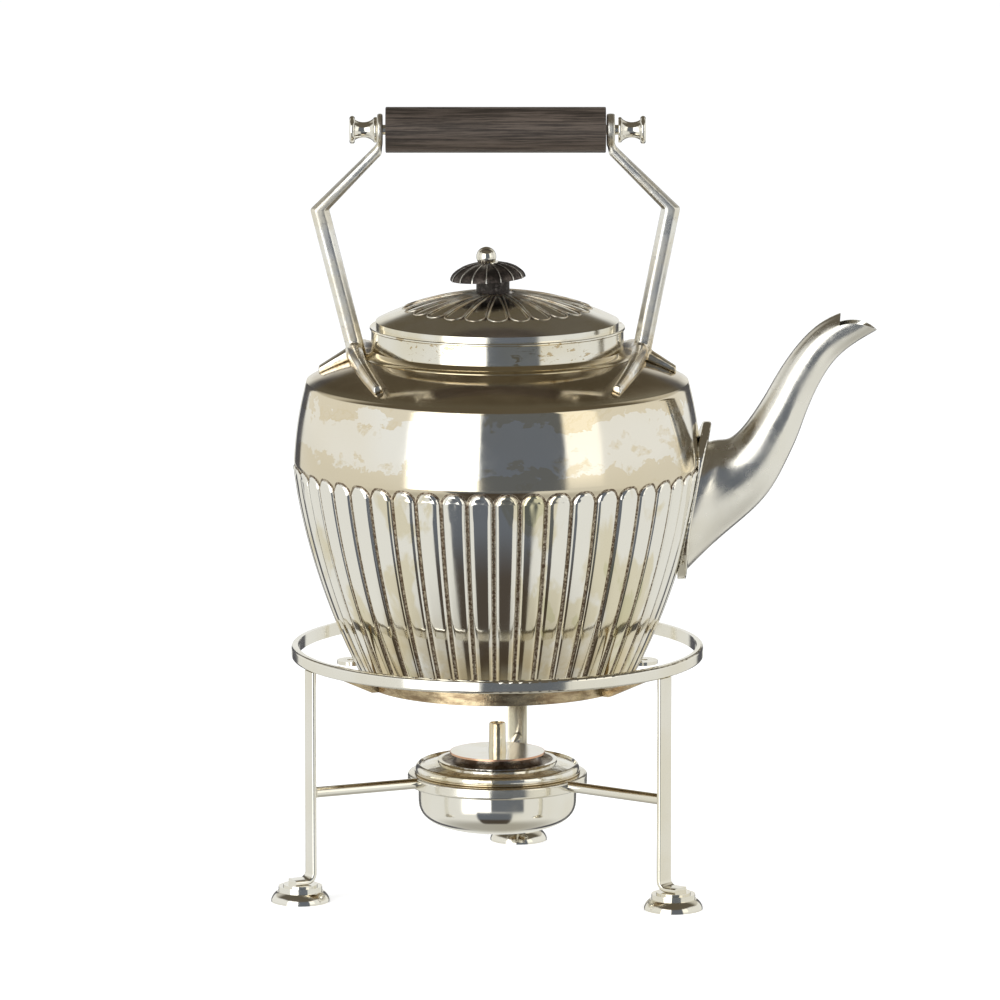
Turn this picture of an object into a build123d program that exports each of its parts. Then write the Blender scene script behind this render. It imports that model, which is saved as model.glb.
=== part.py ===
from build123d import *
from math import cos, hypot, radians, sin, sqrt, tan
import os

# A spirit kettle on its open stand, in millimetres. While the pieces are drawn the kettle's
# upright axis is x = y = 0, the floor is z = 0, the spout points to +X and the front to -Y.

# Where the kettle's axis stands from the middle of the whole object's outline.
axis_x = -32.44
axis_y = -7.82

# Stand: top ring, legs, feet, struts, burner cradle and the kettle's seat.
ring_r = 87.8
ring_band = 2.8
ring_low = 98.5
ring_height = 5.4
ring_round = 1.1
leg_count = 3
rear_leg_angle = 84.2
leg_width = 4.9
leg_round = 0.9
leg_inset = 1.2
leg_bend_r = 3.6
leg_toe = 8.6
foot_r = 12.4
foot_edge = 0.8
foot_dome_height = 4.4
foot_tier_r = 9.3
foot_tier_height = 2.2
foot_cap_r = 7.3
foot_cap_height = 0.8
foot_offset = 4.9
strut_d = 4.6
strut_z = 46.2
cradle_low = 43.3
cradle_height = 5.0
cradle_band = 4.3
cradle_gap = 0.3
seat_width = 5.8
seat_height = 2.4
seat_inset = 0.7
seat_arm_width = 3.2

# Kettle body: fluted bowl, band, shoulder, neck and base.
sheet = 1.2
bowl_foot_r = 59.3
bowl_foot_z = 93.1
bowl_widest_r = 86.5
bowl_widest_z = 178.0
bowl_flank_rise = 3.55
crease_r = 81.0
crease_z = 217.5
band_rise = 1.35
flute_count = 48
flute_phase = 2.65
flute_depth = 1.1
flute_channel = 1.0
flute_section_r = 14.0
flute_crest_drop = 0.12
flute_overlap = 0.1
shoulder_rise = 0.65
shoulder_top_r = 57.5
shoulder_top_z = 228.0
shoulder_seam_z = 229.0
neck_r = 53.6
neck_top_z = 240.7
neck_tail = 1.8
neck_flare_edge = 0.3
neck_flare_top_z = 231.2
neck_flare_dip = 0.55
rim_bead = 0.6
rim_bead_height = 1.3
rim_ledge = 3.4
rim_ledge_height = 1.0
base_r = 56.5
base_height = 3.4
base_rim_width = 6.0
base_rim_height = 1.0
base_collar = 1.6
base_collar_height = 0.8
lug_reach = 68.4
lug_half_width = 7.0
lug_thickness = 1.5
lug_top_z = 96.9
lug_hole_r = 1.3
lug_hole_inset = 5.6

# Spout: where its top and bottom edges lie, how wide it is there, and its oval wall plate.
spout_tops = [(80.0, 189.5), (94.0, 191.8), (98.6, 192.6), (103.7, 196.9), (109.4, 204.6), (113.9, 211.8),
              (119.0, 220.8), (126.6, 231.9), (137.2, 242.2), (145.3, 246.3), (153.5, 250.5)]
spout_bottoms = [(65.0, 141.0), (80.5, 136.0), (98.4, 153.1), (111.9, 165.5), (120.7, 178.9), (127.0, 192.5),
                 (132.2, 206.7), (138.3, 219.4), (145.6, 228.8), (152.7, 234.2), (161.0, 239.2)]
spout_widths = [38.0, 36.0, 29.0, 26.5, 24.0, 21.0, 18.6, 16.6, 15.0, 14.4, 14.0]
spout_wall = 1.2
mouth_notch = (144.6, 241.5)
mouth_lip = (152.6, 242.3)
mouth_tip = (160.9, 238.9)
plate_low_r = 80.2
plate_low_z = 132.0
plate_high_r = 91.0
plate_high_z = 199.8
plate_width = 42.0
plate_thickness = 3.8

# Handle: grip on a tie rod between two arms.
grip_z = 324.2
grip_r = 9.7
grip_length = 93.0
grip_left = -47.2
rod_r = 2.15
bore_gap = 0.08
left_eye = (48.4, 50.8)
right_eye = (46.1, 49.6)
eye_r = 6.95
eye_round = 0.5
arm_top_width = 4.5
arm_top_depth = 5.6
arm_top_shift = 0.85
arm_top_z = 315.4
arm_width = 8.0
arm_depth = 7.4
arm_bevel = 0.28
left_elbow = (75.1, 290.4)
right_elbow = (73.3, 291.1)
left_root_x = 59.3
right_root_x = 60.7
root_z = 228.0
prong_width = 6.4
prong_tip_width = 3.8
prong_start_r = 60.5
prong_tip_r = 75.8
prong_tip_height = 3.3
prong_root_height = 6.6
side_prong_angle = 49.0
side_prong_mid_angle = 31.0
side_prong_mid_r = 65.6
finial_r = 6.0
finial_waist_r = 3.3
finial_neck_r = 5.2
finial_length = 11.6
finial_rim = 2.3
finial_collar = 1.6
finial_play = 1.4
rod_in_finial = 6.0

# Lid: domed cover with petals, bezel, and a knob whose screw leans to the left.
lid_r = 51.6
lid_edge = 2.4
lid_dome_z = 255.3
petal_count = 24
petal_phase = 0.0
petal_inner_r = 8.6
petal_outer_r = 40.4
petal_channel = 0.8
petal_depth = 0.8
petal_section_r = 18.0
petal_crest_drop = 0.1
lid_wall = 2.0
bezel_gap = 0.4
bezel_height = 6.0
bezel_wall = 1.0
knob_pivot_z = 250.0
knob_screw_lean = 13.0
knob_stem_r = 7.05
knob_stem_shift = -1.9
knob_stem_top = 263.5
knob_cap_r = 15.7
knob_cap_shift = -4.0
knob_cap_low = 260.9
knob_cap_height = 6.9
knob_cap_lean = 3.5
knob_cap_hollow = 2.0
gadroon_count = 16
gadroon_phase = -2.3
gadroon_ridge = 0.35
gadroon_ridge_width = 0.6
knob_ball_r = 4.25
knob_ball_reach = 20.8
ball_washer_r = 4.5
ball_washer_height = 1.0
shank_r = 1.5
knob_nut_r = 4.2
knob_nut_height = 3.0

# Burner: bowl, top, collar, and the lift-out wick holder.
burner_r = 33.8
burner_low = 24.0
burner_flat_r = 10.0
burner_side_z = 42.0
burner_curve = (28.6, 30.9)
burner_rim_r = 34.9
burner_rim_top = 52.3
burner_wire = 0.5
burner_wire_height = 1.1
burner_dish_depth = 0.9
burner_step_r = 25.5
burner_step_width = 1.9
burner_step_z = 54.0
burner_step_height = 1.1
collar_r = 17.0
collar_wall = 2.2
collar_top = 56.6
wick_plate_r = 20.3
wick_plate_height = 0.8
wick_skirt_depth = 4.0
wick_skirt_gap = 0.25
wick_skirt_wall = 1.0
tube_low_r = 3.8
tube_top_r = 2.85
tube_top_z = 69.7
tube_tail = 7.0
tube_wall = 0.7
wick_tail_z = 27.0
wick_sunk = 1.5

# Values that follow from the sizes above.
ring_top = ring_low + ring_height
leg_circle_r = ring_r - leg_inset
foot_top = foot_dome_height + foot_tier_height + foot_cap_height
toe_z = foot_top + leg_width / 2
cradle_inner_r = burner_r + cradle_gap
cradle_r = cradle_inner_r + cradle_band
cradle_top = cradle_low + cradle_height
base_low = bowl_foot_z - base_height
seat_r = base_r - seat_inset
flute_pitch = 360 / flute_count
petal_pitch = 360 / petal_count
lid_seat_z = neck_top_z
lid_edge_z = lid_seat_z + lid_edge
bezel_r = neck_r - rim_ledge - bezel_gap

foot_point = (bowl_foot_r, bowl_foot_z)
widest_point = (bowl_widest_r, bowl_widest_z)
crease_point = (crease_r, crease_z)


def arc_middle(start, end, rise):
    """Middle of an arc that rises to the right of the way from start to end."""
    run = (end[0] - start[0], end[1] - start[1])
    length = hypot(run[0], run[1])
    across = (run[1] / length, -run[0] / length)
    return ((start[0] + end[0]) / 2 + across[0] * rise, (start[1] + end[1]) / 2 + across[1] * rise)


def arc_centre(start, end, rise):
    """Centre and radius of the same arc."""
    half = hypot(end[0] - start[0], end[1] - start[1]) / 2
    radius = (half * half + rise * rise) / (2 * rise)
    middle = arc_middle(start, end, rise)
    across = arc_middle(start, end, rise + 1)
    out = (across[0] - middle[0], across[1] - middle[1])
    return (middle[0] - out[0] * radius, middle[1] - out[1] * radius, radius)


def inward(point, depth):
    """A profile point moved towards the axis."""
    return (point[0] - depth, point[1])


def write_piece(piece, node, turn=0):
    """Turn a finished piece about the kettle's axis, set it in the object's frame and write it."""
    placed = piece.rotate(Axis.Z, turn).moved(Location((axis_x, axis_y, 0)))
    placed.label = node
    export_step(placed, f"parts/{node}.step")


os.makedirs("parts", exist_ok=True)

flank_middle = arc_middle(foot_point, widest_point, bowl_flank_rise)
band_middle = arc_middle(widest_point, crease_point, band_rise)
flank_r, flank_z, flank_radius = arc_centre(foot_point, widest_point, bowl_flank_rise)
shoulder_top = (shoulder_top_r, shoulder_top_z)
shoulder_middle = arc_middle(crease_point, shoulder_top, shoulder_rise)
flare_low = (shoulder_top_r, shoulder_top_z + neck_flare_edge)
flare_top = (neck_r, neck_flare_top_z)
flare_middle = arc_middle(flare_top, flare_low, neck_flare_dip)

# The whole kettle body as one plain solid, for pieces that are fitted against it.
with BuildPart() as body_envelope:
    with BuildSketch(Plane.XZ):
        with BuildLine():
            Polyline((0, bowl_foot_z), foot_point)
            ThreePointArc(foot_point, flank_middle, widest_point)
            ThreePointArc(widest_point, band_middle, crease_point)
            ThreePointArc(crease_point, shoulder_middle, shoulder_top)
            Polyline(shoulder_top, flare_low)
            ThreePointArc(flare_low, flare_middle, flare_top)
            Polyline(flare_top, (neck_r, neck_top_z), (0, neck_top_z), (0, bowl_foot_z))
        make_face()
    revolve(axis=Axis.Z)

# The spout's inner and outer forms, from the same stations.
def spout_form(inset):
    """The spout as a solid loft, drawn in all round by the inset."""
    with BuildPart() as form:
        for top, bottom, width in zip(spout_tops, spout_bottoms, spout_widths):
            height = hypot(top[0] - bottom[0], top[1] - bottom[1])
            rise = ((top[0] - bottom[0]) / height, (top[1] - bottom[1]) / height)
            middle = ((top[0] + bottom[0]) / 2, 0, (top[1] + bottom[1]) / 2)
            station = Plane(origin=middle, x_dir=(rise[0], 0, rise[1]), z_dir=(rise[1], 0, -rise[0]))
            with BuildSketch(station):
                Ellipse(height / 2 - inset, width / 2 - inset)
        loft()
    return form.part


spout_outside = spout_form(0)
spout_channel = spout_form(spout_wall)

# The oval plate's faces lie on two cones. This is the solid inside one of them.
def plate_cone(depth):
    """A solid cone whose side is the plate's outer face, set in by the depth."""
    slope = (plate_high_r - plate_low_r) / (plate_high_z - plate_low_z)
    margin = 25
    low = (plate_low_r - depth - slope * margin, plate_low_z - margin)
    high = (plate_high_r - depth + slope * margin, plate_high_z + margin)
    with BuildPart() as cone:
        with BuildSketch(Plane.XZ):
            Polygon((0, low[1]), low, high, (0, high[1]), align=None)
        revolve(axis=Axis.Z)
    return cone.part


plate_face = plate_cone(0)
plate_back = plate_cone(plate_thickness)

# One flute's convex panel, standing at +X: a long bar that follows the bowl's flank.
spring_half = bowl_widest_r * tan(radians(flute_pitch / 2)) - flute_channel / 2
foot_half = bowl_foot_r * tan(radians(flute_pitch / 2)) - flute_channel / 2
middle_half = flank_middle[0] * tan(radians(flute_pitch / 2)) - flute_channel / 2
flute_top_z = bowl_widest_z - flute_channel / 2
spring_z = flute_top_z - spring_half
with BuildPart() as flute_panel:
    with BuildSketch(Plane.XY.offset(flank_z)):
        with Locations((flank_r + flank_radius - flute_crest_drop - flute_section_r, 0)):
            Circle(flute_section_r)
    revolve(axis=Axis((flank_r, 0, flank_z), (0, 1, 0)), revolution_arc=40)
    with BuildSketch(Plane.YZ):
        with BuildLine():
            ThreePointArc((-foot_half, bowl_foot_z), (-middle_half, flank_middle[1]), (-spring_half, spring_z))
            ThreePointArc((-spring_half, spring_z), (0, flute_top_z), (spring_half, spring_z))
            ThreePointArc((spring_half, spring_z), (middle_half, flank_middle[1]), (foot_half, bowl_foot_z))
            Polyline((foot_half, bowl_foot_z), (foot_half, bowl_foot_z - sheet),
                     (-foot_half, bowl_foot_z - sheet), (-foot_half, bowl_foot_z))
        make_face()
    extrude(amount=bowl_widest_r + flute_depth, mode=Mode.INTERSECT)

# The plain metal left between two round flute tops, standing at +X on a flute boundary.
pitch_half = bowl_widest_r * tan(radians(flute_pitch / 2))
arch_r = spring_half + flute_channel * 0.6
cusp_z = spring_z + sqrt(arch_r ** 2 - pitch_half ** 2)
arch_end = pitch_half - sqrt(arch_r ** 2 - (bowl_widest_z - spring_z) ** 2)
arch_half_z = (cusp_z + bowl_widest_z) / 2
arch_half = pitch_half - sqrt(arch_r ** 2 - (arch_half_z - spring_z) ** 2)
with BuildPart() as spandrel:
    with BuildSketch(Plane.YZ):
        with BuildLine():
            ThreePointArc((0, cusp_z), (arch_half, arch_half_z), (arch_end, bowl_widest_z))
            Polyline((arch_end, bowl_widest_z), (arch_end, bowl_widest_z + sheet),
                     (-arch_end, bowl_widest_z + sheet), (-arch_end, bowl_widest_z))
            ThreePointArc((-arch_end, bowl_widest_z), (-arch_half, arch_half_z), (0, cusp_z))
        make_face()
    extrude(amount=bowl_widest_r + flute_depth)

# What is chased out of the flank for one flute: a curved layer one pitch wide, less the panel and
# the plain metal at both its ends. Neighbours overlap a little in the channel's flat floor.
with BuildPart() as chased_groove:
    with BuildSketch(Plane.XZ):
        with BuildLine():
            Polyline(inward(foot_point, flute_depth + sheet / 4), inward(foot_point, flute_depth))
            ThreePointArc(inward(foot_point, flute_depth), inward(flank_middle, flute_depth),
                          inward(widest_point, flute_depth))
            Polyline(inward(widest_point, flute_depth), inward(widest_point, -flute_depth / 2),
                     (bowl_widest_r + flute_depth / 2, bowl_foot_z - sheet),
                     (bowl_foot_r - flute_depth - sheet / 4, bowl_foot_z - sheet),
                     inward(foot_point, flute_depth + sheet / 4))
        make_face()
    revolve(axis=Axis.Z, revolution_arc=flute_pitch + flute_overlap)
    with Locations(Rotation(0, 0, (flute_pitch + flute_overlap) / 2)):
        add(flute_panel.part, mode=Mode.SUBTRACT)
    with PolarLocations(0, 2, start_angle=flute_overlap / 2, angular_range=2 * flute_pitch):
        add(spandrel.part, mode=Mode.SUBTRACT)

# Kettle bowl: 48 round-topped flutes, and the lower part of the port behind the spout.
wall = sheet + flute_depth
with BuildPart() as kettle_bowl:
    with BuildSketch(Plane.XZ):
        with BuildLine():
            ThreePointArc(foot_point, flank_middle, widest_point)
            Polyline(widest_point, inward(widest_point, wall))
            ThreePointArc(inward(widest_point, wall), inward(flank_middle, wall), inward(foot_point, wall))
            Polyline(inward(foot_point, wall), foot_point)
        make_face()
    revolve(axis=Axis.Z)
    with PolarLocations(0, flute_count, start_angle=flute_phase - 90 - (flute_pitch + flute_overlap) / 2):
        add(chased_groove.part, mode=Mode.SUBTRACT)
    add(spout_channel, mode=Mode.SUBTRACT)
write_piece(kettle_bowl.part, "kettle_bowl")

# Kettle band: the plain upper wall, and the upper part of the same port.
step_z = bowl_widest_z + flute_depth
with BuildPart() as kettle_band:
    with BuildSketch(Plane.XZ):
        with BuildLine():
            ThreePointArc(widest_point, band_middle, crease_point)
            Polyline(crease_point, inward(crease_point, sheet))
            ThreePointArc(inward(crease_point, sheet), inward(band_middle, sheet), (bowl_widest_r - sheet, step_z))
            Polyline((bowl_widest_r - sheet, step_z), inward(widest_point, wall), widest_point)
        make_face()
    revolve(axis=Axis.Z)
    add(spout_channel, mode=Mode.SUBTRACT)
write_piece(kettle_band.part, "kettle_band")

# Shoulder: the shallow cone from the crease up to the neck.
shoulder_cut = sheet * 2.4
with BuildPart() as kettle_shoulder:
    with BuildSketch(Plane.XZ):
        with BuildLine():
            ThreePointArc(crease_point, shoulder_middle, shoulder_top)
            Polyline(shoulder_top, (neck_r, shoulder_seam_z), (neck_r, shoulder_seam_z - sheet),
                     (shoulder_top_r, shoulder_top_z - sheet))
            ThreePointArc((shoulder_top_r, shoulder_top_z - sheet),
                          (shoulder_middle[0] - shoulder_cut / 2, shoulder_middle[1] - sheet / 2),
                          inward(crease_point, shoulder_cut))
            Polyline(inward(crease_point, shoulder_cut), crease_point)
        make_face()
    revolve(axis=Axis.Z)
write_piece(kettle_shoulder.part, "kettle_shoulder")

# Neck: a plain collar with a flared foot, a wire at its rim and a ledge for the lid.
neck_foot_z = shoulder_seam_z - neck_tail
wire_low_z = neck_top_z - rim_bead_height
with BuildPart() as kettle_neck:
    with BuildSketch(Plane.XZ):
        with BuildLine():
            Polyline((neck_r, neck_foot_z), (neck_r, shoulder_seam_z), shoulder_top, flare_low)
            ThreePointArc(flare_low, flare_middle, flare_top)
            Polyline(flare_top, (neck_r, wire_low_z))
            ThreePointArc((neck_r, wire_low_z), (neck_r + rim_bead, neck_top_z - rim_bead_height / 2),
                          (neck_r, neck_top_z))
            Polyline((neck_r, neck_top_z), (neck_r - rim_ledge, neck_top_z),
                     (neck_r - rim_ledge, neck_top_z - rim_ledge_height),
                     (neck_r - sheet, neck_top_z - rim_ledge_height), (neck_r - sheet, neck_foot_z),
                     (neck_r, neck_foot_z))
        make_face()
    revolve(axis=Axis.Z)
write_piece(kettle_neck.part, "kettle_neck")

# Base: a shallow pan under the bowl, with a flat foot ring round a raised bottom.
bottom_low = base_low + base_rim_height
with BuildPart() as kettle_base:
    with BuildSketch(Plane.XZ):
        Polygon((0, bottom_low), (base_r - base_rim_width, bottom_low), (base_r - base_rim_width, base_low),
                (base_r, base_low), (base_r, bowl_foot_z - base_collar_height),
                (base_r + base_collar, bowl_foot_z - base_collar_height), (base_r + base_collar, bowl_foot_z),
                (base_r - sheet, bowl_foot_z), (base_r - sheet, bottom_low + sheet), (0, bottom_low + sheet),
                align=None)
    revolve(axis=Axis.Z)
write_piece(kettle_base.part, "kettle_base")

# Lugs: two flat tongues on the bowl's foot, in line with the spout, each with a pin hole.
with BuildPart() as base_lug:
    with BuildSketch(Plane.XY.offset(lug_top_z - lug_thickness)):
        with BuildLine():
            Polyline((bowl_foot_r - sheet, -lug_half_width), (lug_reach - lug_half_width, -lug_half_width))
            ThreePointArc((lug_reach - lug_half_width, -lug_half_width), (lug_reach, 0),
                          (lug_reach - lug_half_width, lug_half_width))
            Polyline((lug_reach - lug_half_width, lug_half_width), (bowl_foot_r - sheet, lug_half_width),
                     (bowl_foot_r - sheet, -lug_half_width))
        make_face()
        with Locations((lug_reach - lug_hole_inset, 0)):
            Circle(lug_hole_r, mode=Mode.SUBTRACT)
    extrude(amount=lug_thickness)
    add(body_envelope.part, mode=Mode.SUBTRACT)
write_piece(base_lug.part, "base_lug_right")
write_piece(base_lug.part, "base_lug_left", turn=180)

# Spout plate: an oval sheet on the flutes' crests, drawn off the body towards its top.
plate_middle_z = (plate_low_z + plate_high_z) / 2
with BuildPart() as spout_plate:
    with BuildSketch(Plane.YZ.offset(bowl_foot_r)):
        with Locations((0, plate_middle_z)):
            Ellipse(plate_width / 2, (plate_high_z - plate_low_z) / 2)
    extrude(amount=plate_high_r - bowl_foot_r + plate_thickness)
    add(plate_face, mode=Mode.INTERSECT)
    add(plate_back, mode=Mode.SUBTRACT)
    add(body_envelope.part, mode=Mode.SUBTRACT)
    add(spout_channel, mode=Mode.SUBTRACT)
write_piece(spout_plate.part, "spout_plate")

# Spout: a hollow S-shaped tube, open at an upturned beak with a pouring lip.
beak_top = spout_tops[-2]
with BuildPart() as spout:
    add(spout_outside)
    add(spout_channel, mode=Mode.SUBTRACT)
    add(plate_face, mode=Mode.SUBTRACT)
    with BuildSketch(Plane.XZ):
        with BuildLine():
            ThreePointArc(mouth_notch, mouth_lip, mouth_tip)
            Polyline(mouth_tip, (mouth_tip[0] + finial_length, mouth_tip[1]),
                     (mouth_tip[0] + finial_length, neck_top_z + knob_cap_r),
                     (beak_top[0], neck_top_z + knob_cap_r), beak_top, mouth_notch)
        make_face()
    extrude(amount=plate_width / 2, both=True, mode=Mode.SUBTRACT)
write_piece(spout.part, "spout")

# Stand ring: a band with a rounded outside.
with BuildPart() as stand_ring:
    with BuildSketch(Plane.XZ):
        with Locations((ring_r - ring_band / 2, ring_low + ring_height / 2)):
            band = Rectangle(ring_band, ring_height)
        fillet(band.vertices().group_by(Axis.X)[-1], ring_round)
    revolve(axis=Axis.Z)
write_piece(stand_ring.part, "stand_ring")

# Burner cradle: a smaller band of the same kind.
with BuildPart() as burner_cradle_ring:
    with BuildSketch(Plane.XZ):
        with Locations((cradle_inner_r + cradle_band / 2, cradle_low + cradle_height / 2)):
            band = Rectangle(cradle_band, cradle_height)
        fillet(band.vertices().group_by(Axis.X)[-1], ring_round)
    revolve(axis=Axis.Z)
write_piece(burner_cradle_ring.part, "burner_cradle_ring")

# Leg: a square bar with eased edges that turns outwards onto its foot.
with BuildPart() as leg:
    with BuildLine():
        FilletPolyline((leg_circle_r, 0, ring_low), (leg_circle_r, 0, toe_z),
                       (leg_circle_r + leg_toe, 0, toe_z), radius=leg_bend_r)
    with BuildSketch(Plane.XY.move(Location((leg_circle_r, 0, ring_low)))):
        RectangleRounded(leg_width, leg_width, leg_round)
    sweep()

# Foot: a low dome, a tier and a cap, turned as one piece.
foot_circle_r = leg_circle_r + foot_offset
tier_z = foot_dome_height + foot_tier_height
with BuildPart() as foot:
    with BuildSketch(Plane.XZ):
        with BuildLine():
            Polyline((0, 0), (foot_r, 0), (foot_r, foot_edge))
            ThreePointArc((foot_r, foot_edge), (foot_r - 1.0, foot_dome_height * 0.66),
                          (foot_tier_r + 0.6, foot_dome_height))
            Polyline((foot_tier_r + 0.6, foot_dome_height), (foot_tier_r, foot_dome_height),
                     (foot_tier_r, tier_z), (foot_cap_r, tier_z), (foot_cap_r, foot_top), (0, foot_top), (0, 0))
        make_face()
    revolve(axis=Axis.Z)

# Strut: a round bar from the cradle to the leg, its ends fitted to both.
with BuildPart() as strut:
    with BuildSketch(Plane.YZ.offset(cradle_r - cradle_band / 2)):
        with Locations((0, strut_z)):
            Circle(strut_d / 2)
    extrude(amount=leg_circle_r - cradle_r + cradle_band / 2)
    add(burner_cradle_ring.part, mode=Mode.SUBTRACT)
    add(leg.part, mode=Mode.SUBTRACT)

# Kettle seat: a flat ring under the kettle's foot, hung from the stand ring by three sloping arms.
arm_out_r = ring_r - ring_band / 2
arm_out_z = ring_low + ring_height / 2
arm_in_z = base_low - seat_height / 2
with BuildPart() as seat_arm:
    with BuildSketch(Plane.XZ):
        Polygon((seat_r - seat_inset, arm_in_z + seat_height / 2), (base_r + sheet, arm_in_z + seat_height / 2),
                (arm_out_r, arm_out_z + seat_height / 2), (arm_out_r, arm_out_z - seat_height / 2),
                (base_r + sheet * 2, arm_in_z - seat_height / 2), (seat_r - seat_inset, arm_in_z - seat_height / 2),
                align=None)
    extrude(amount=seat_arm_width / 2, both=True)
    add(stand_ring.part, mode=Mode.SUBTRACT)

with BuildPart() as kettle_seat:
    with BuildSketch(Plane.XZ):
        with Locations((seat_r - seat_width / 2, arm_in_z)):
            Rectangle(seat_width, seat_height)
    revolve(axis=Axis.Z)
    with PolarLocations(0, leg_count, start_angle=rear_leg_angle):
        add(seat_arm.part)
write_piece(kettle_seat.part, "kettle_seat")

for index, side in enumerate(("rear", "left", "right")):
    turn = rear_leg_angle + index * 360 / leg_count
    write_piece(leg.part, f"stand_leg_{side}", turn)
    write_piece(foot.part.moved(Location((foot_circle_r, 0, 0))), f"foot_{side}", turn)
    write_piece(strut.part, f"strut_{side}", turn)

# Handle arms, drawn on the +X side: eye, bevelled bar with a mitred elbow, and three prongs.
def bar_section(plane, across, deep, bevel):
    """One bevelled section of a bar, on the given plane."""
    with BuildSketch(plane) as section:
        outline = Rectangle(across, deep)
        chamfer(outline.vertices(), bevel * min(across, deep))
    return section.sketch


def side_plane(x, z, direction):
    """A plane across a bar that runs in the kettle's XZ plane."""
    return Plane(origin=(x, 0, z), x_dir=(direction[1], 0, -direction[0]), z_dir=(direction[0], 0, direction[1]))


def unit(run):
    """The same direction with length one."""
    length = hypot(run[0], run[1])
    return (run[0] / length, run[1] / length)


def shoulder_height(radius):
    """Height of the shoulder's outer face at a radius, taken as straight."""
    slope = (shoulder_top_z - crease_z) / (crease_r - shoulder_top_r)
    return crease_z + (crease_r - radius) * slope


def prong_plane(radius, angle, direction, height):
    """A plane across a prong, centred half its height above the shoulder."""
    place = (radius * cos(radians(angle)), -radius * sin(radians(angle)), shoulder_height(radius) + height / 2)
    return Plane(origin=place, x_dir=(-direction[1], direction[0], 0), z_dir=(direction[0], direction[1], 0))


def prong(stations):
    """A tapered prong through its stations: radius, angle, direction in plan, width and height."""
    with BuildPart() as bar:
        for radius, angle, direction, width, height in stations:
            add(bar_section(prong_plane(radius, angle, direction, height), width, height + 1.0, arm_bevel))
        loft()
    return bar.part


side_start = (prong_start_r, 0)
side_mid = (side_prong_mid_r * cos(radians(side_prong_mid_angle)),
            -side_prong_mid_r * sin(radians(side_prong_mid_angle)))
side_end = (prong_tip_r * cos(radians(side_prong_angle)), -prong_tip_r * sin(radians(side_prong_angle)))
side_first = unit((side_mid[0] - side_start[0] + 3.0, side_mid[1] - side_start[1]))
side_last = unit((side_end[0] - side_mid[0], side_end[1] - side_mid[1]))
side_turn = unit((side_first[0] + side_last[0], side_first[1] + side_last[1]))

prong_mid_width = (prong_width + prong_tip_width) / 2
prong_mid_height = (prong_root_height + prong_tip_height) / 2
outer_prong = prong([(prong_start_r - 1.0, 0, (1, 0), prong_width, prong_root_height),
                     (prong_tip_r, 0, (1, 0), prong_tip_width, prong_tip_height)])
side_prong = prong([(prong_start_r, 0, side_first, prong_width, prong_root_height),
                    (side_prong_mid_r, side_prong_mid_angle, side_turn, prong_mid_width, prong_mid_height),
                    (prong_tip_r, side_prong_angle, side_last, prong_tip_width, prong_tip_height)])

def handle_arm(eye, elbow, root_x):
    """One arm: its eye from inner to outer face, its elbow, and where its foot stands."""
    eye_x = (eye[0] + eye[1]) / 2
    eye_thickness = eye[1] - eye[0]
    top = (eye_x + arm_top_shift, arm_top_z)
    upper_run = unit((elbow[0] - top[0], elbow[1] - top[1]))
    down = (0, -1)
    with BuildPart() as arm:
        add(bar_section(side_plane(eye_x, grip_z - eye_r * 0.8, down), eye_thickness * 0.9, arm_top_depth,
                        arm_bevel))
        add(bar_section(side_plane(top[0], top[1], upper_run), arm_top_width, arm_top_depth, arm_bevel))
        add(bar_section(side_plane(elbow[0], elbow[1], down), arm_width, arm_depth, arm_bevel))
        add(bar_section(side_plane(root_x, root_z, down), arm_width, arm_depth, arm_bevel))
        loft(ruled=True)
        add(outer_prong)
        add(side_prong)
        add(side_prong.mirror(Plane.XZ))
        with BuildSketch(Plane.XZ):
            with Locations((eye_x, grip_z + eye_r / 2)):
                disc = Rectangle(eye_thickness, eye_r)
            fillet(disc.vertices().group_by(Axis.Y)[-1], eye_round)
        revolve(axis=Axis((0, 0, grip_z), (1, 0, 0)))
        with BuildSketch(Plane.YZ.offset(eye[0])):
            with Locations((0, grip_z)):
                Circle(rod_r)
        extrude(amount=eye_thickness, mode=Mode.SUBTRACT)
        add(body_envelope.part, mode=Mode.SUBTRACT)
    return arm.part


write_piece(handle_arm(right_eye, right_elbow, right_root_x), "handle_arm_right")
write_piece(handle_arm(left_eye, left_elbow, left_root_x), "handle_arm_left", turn=180)

# Tie rod, grip and finials. The rod and grip lie pushed over to the right, as far as their play lets them.
rod_left = -left_eye[1] - rod_in_finial
rod_right = right_eye[1] + finial_play + rod_in_finial
with BuildPart() as handle_tie_rod:
    with BuildSketch(Plane.YZ.offset(rod_left)):
        with Locations((0, grip_z)):
            Circle(rod_r)
    extrude(amount=rod_right - rod_left)
write_piece(handle_tie_rod.part, "handle_tie_rod")

with BuildPart() as handle_grip:
    with BuildSketch(Plane.YZ.offset(grip_left)):
        with Locations((0, grip_z)):
            Circle(grip_r)
            Circle(rod_r + bore_gap, mode=Mode.SUBTRACT)
    extrude(amount=grip_length)
    chamfer(handle_grip.edges().filter_by(GeomType.CIRCLE).group_by(SortBy.RADIUS)[-1], 0.3)
write_piece(handle_grip.part, "handle_grip")

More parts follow.
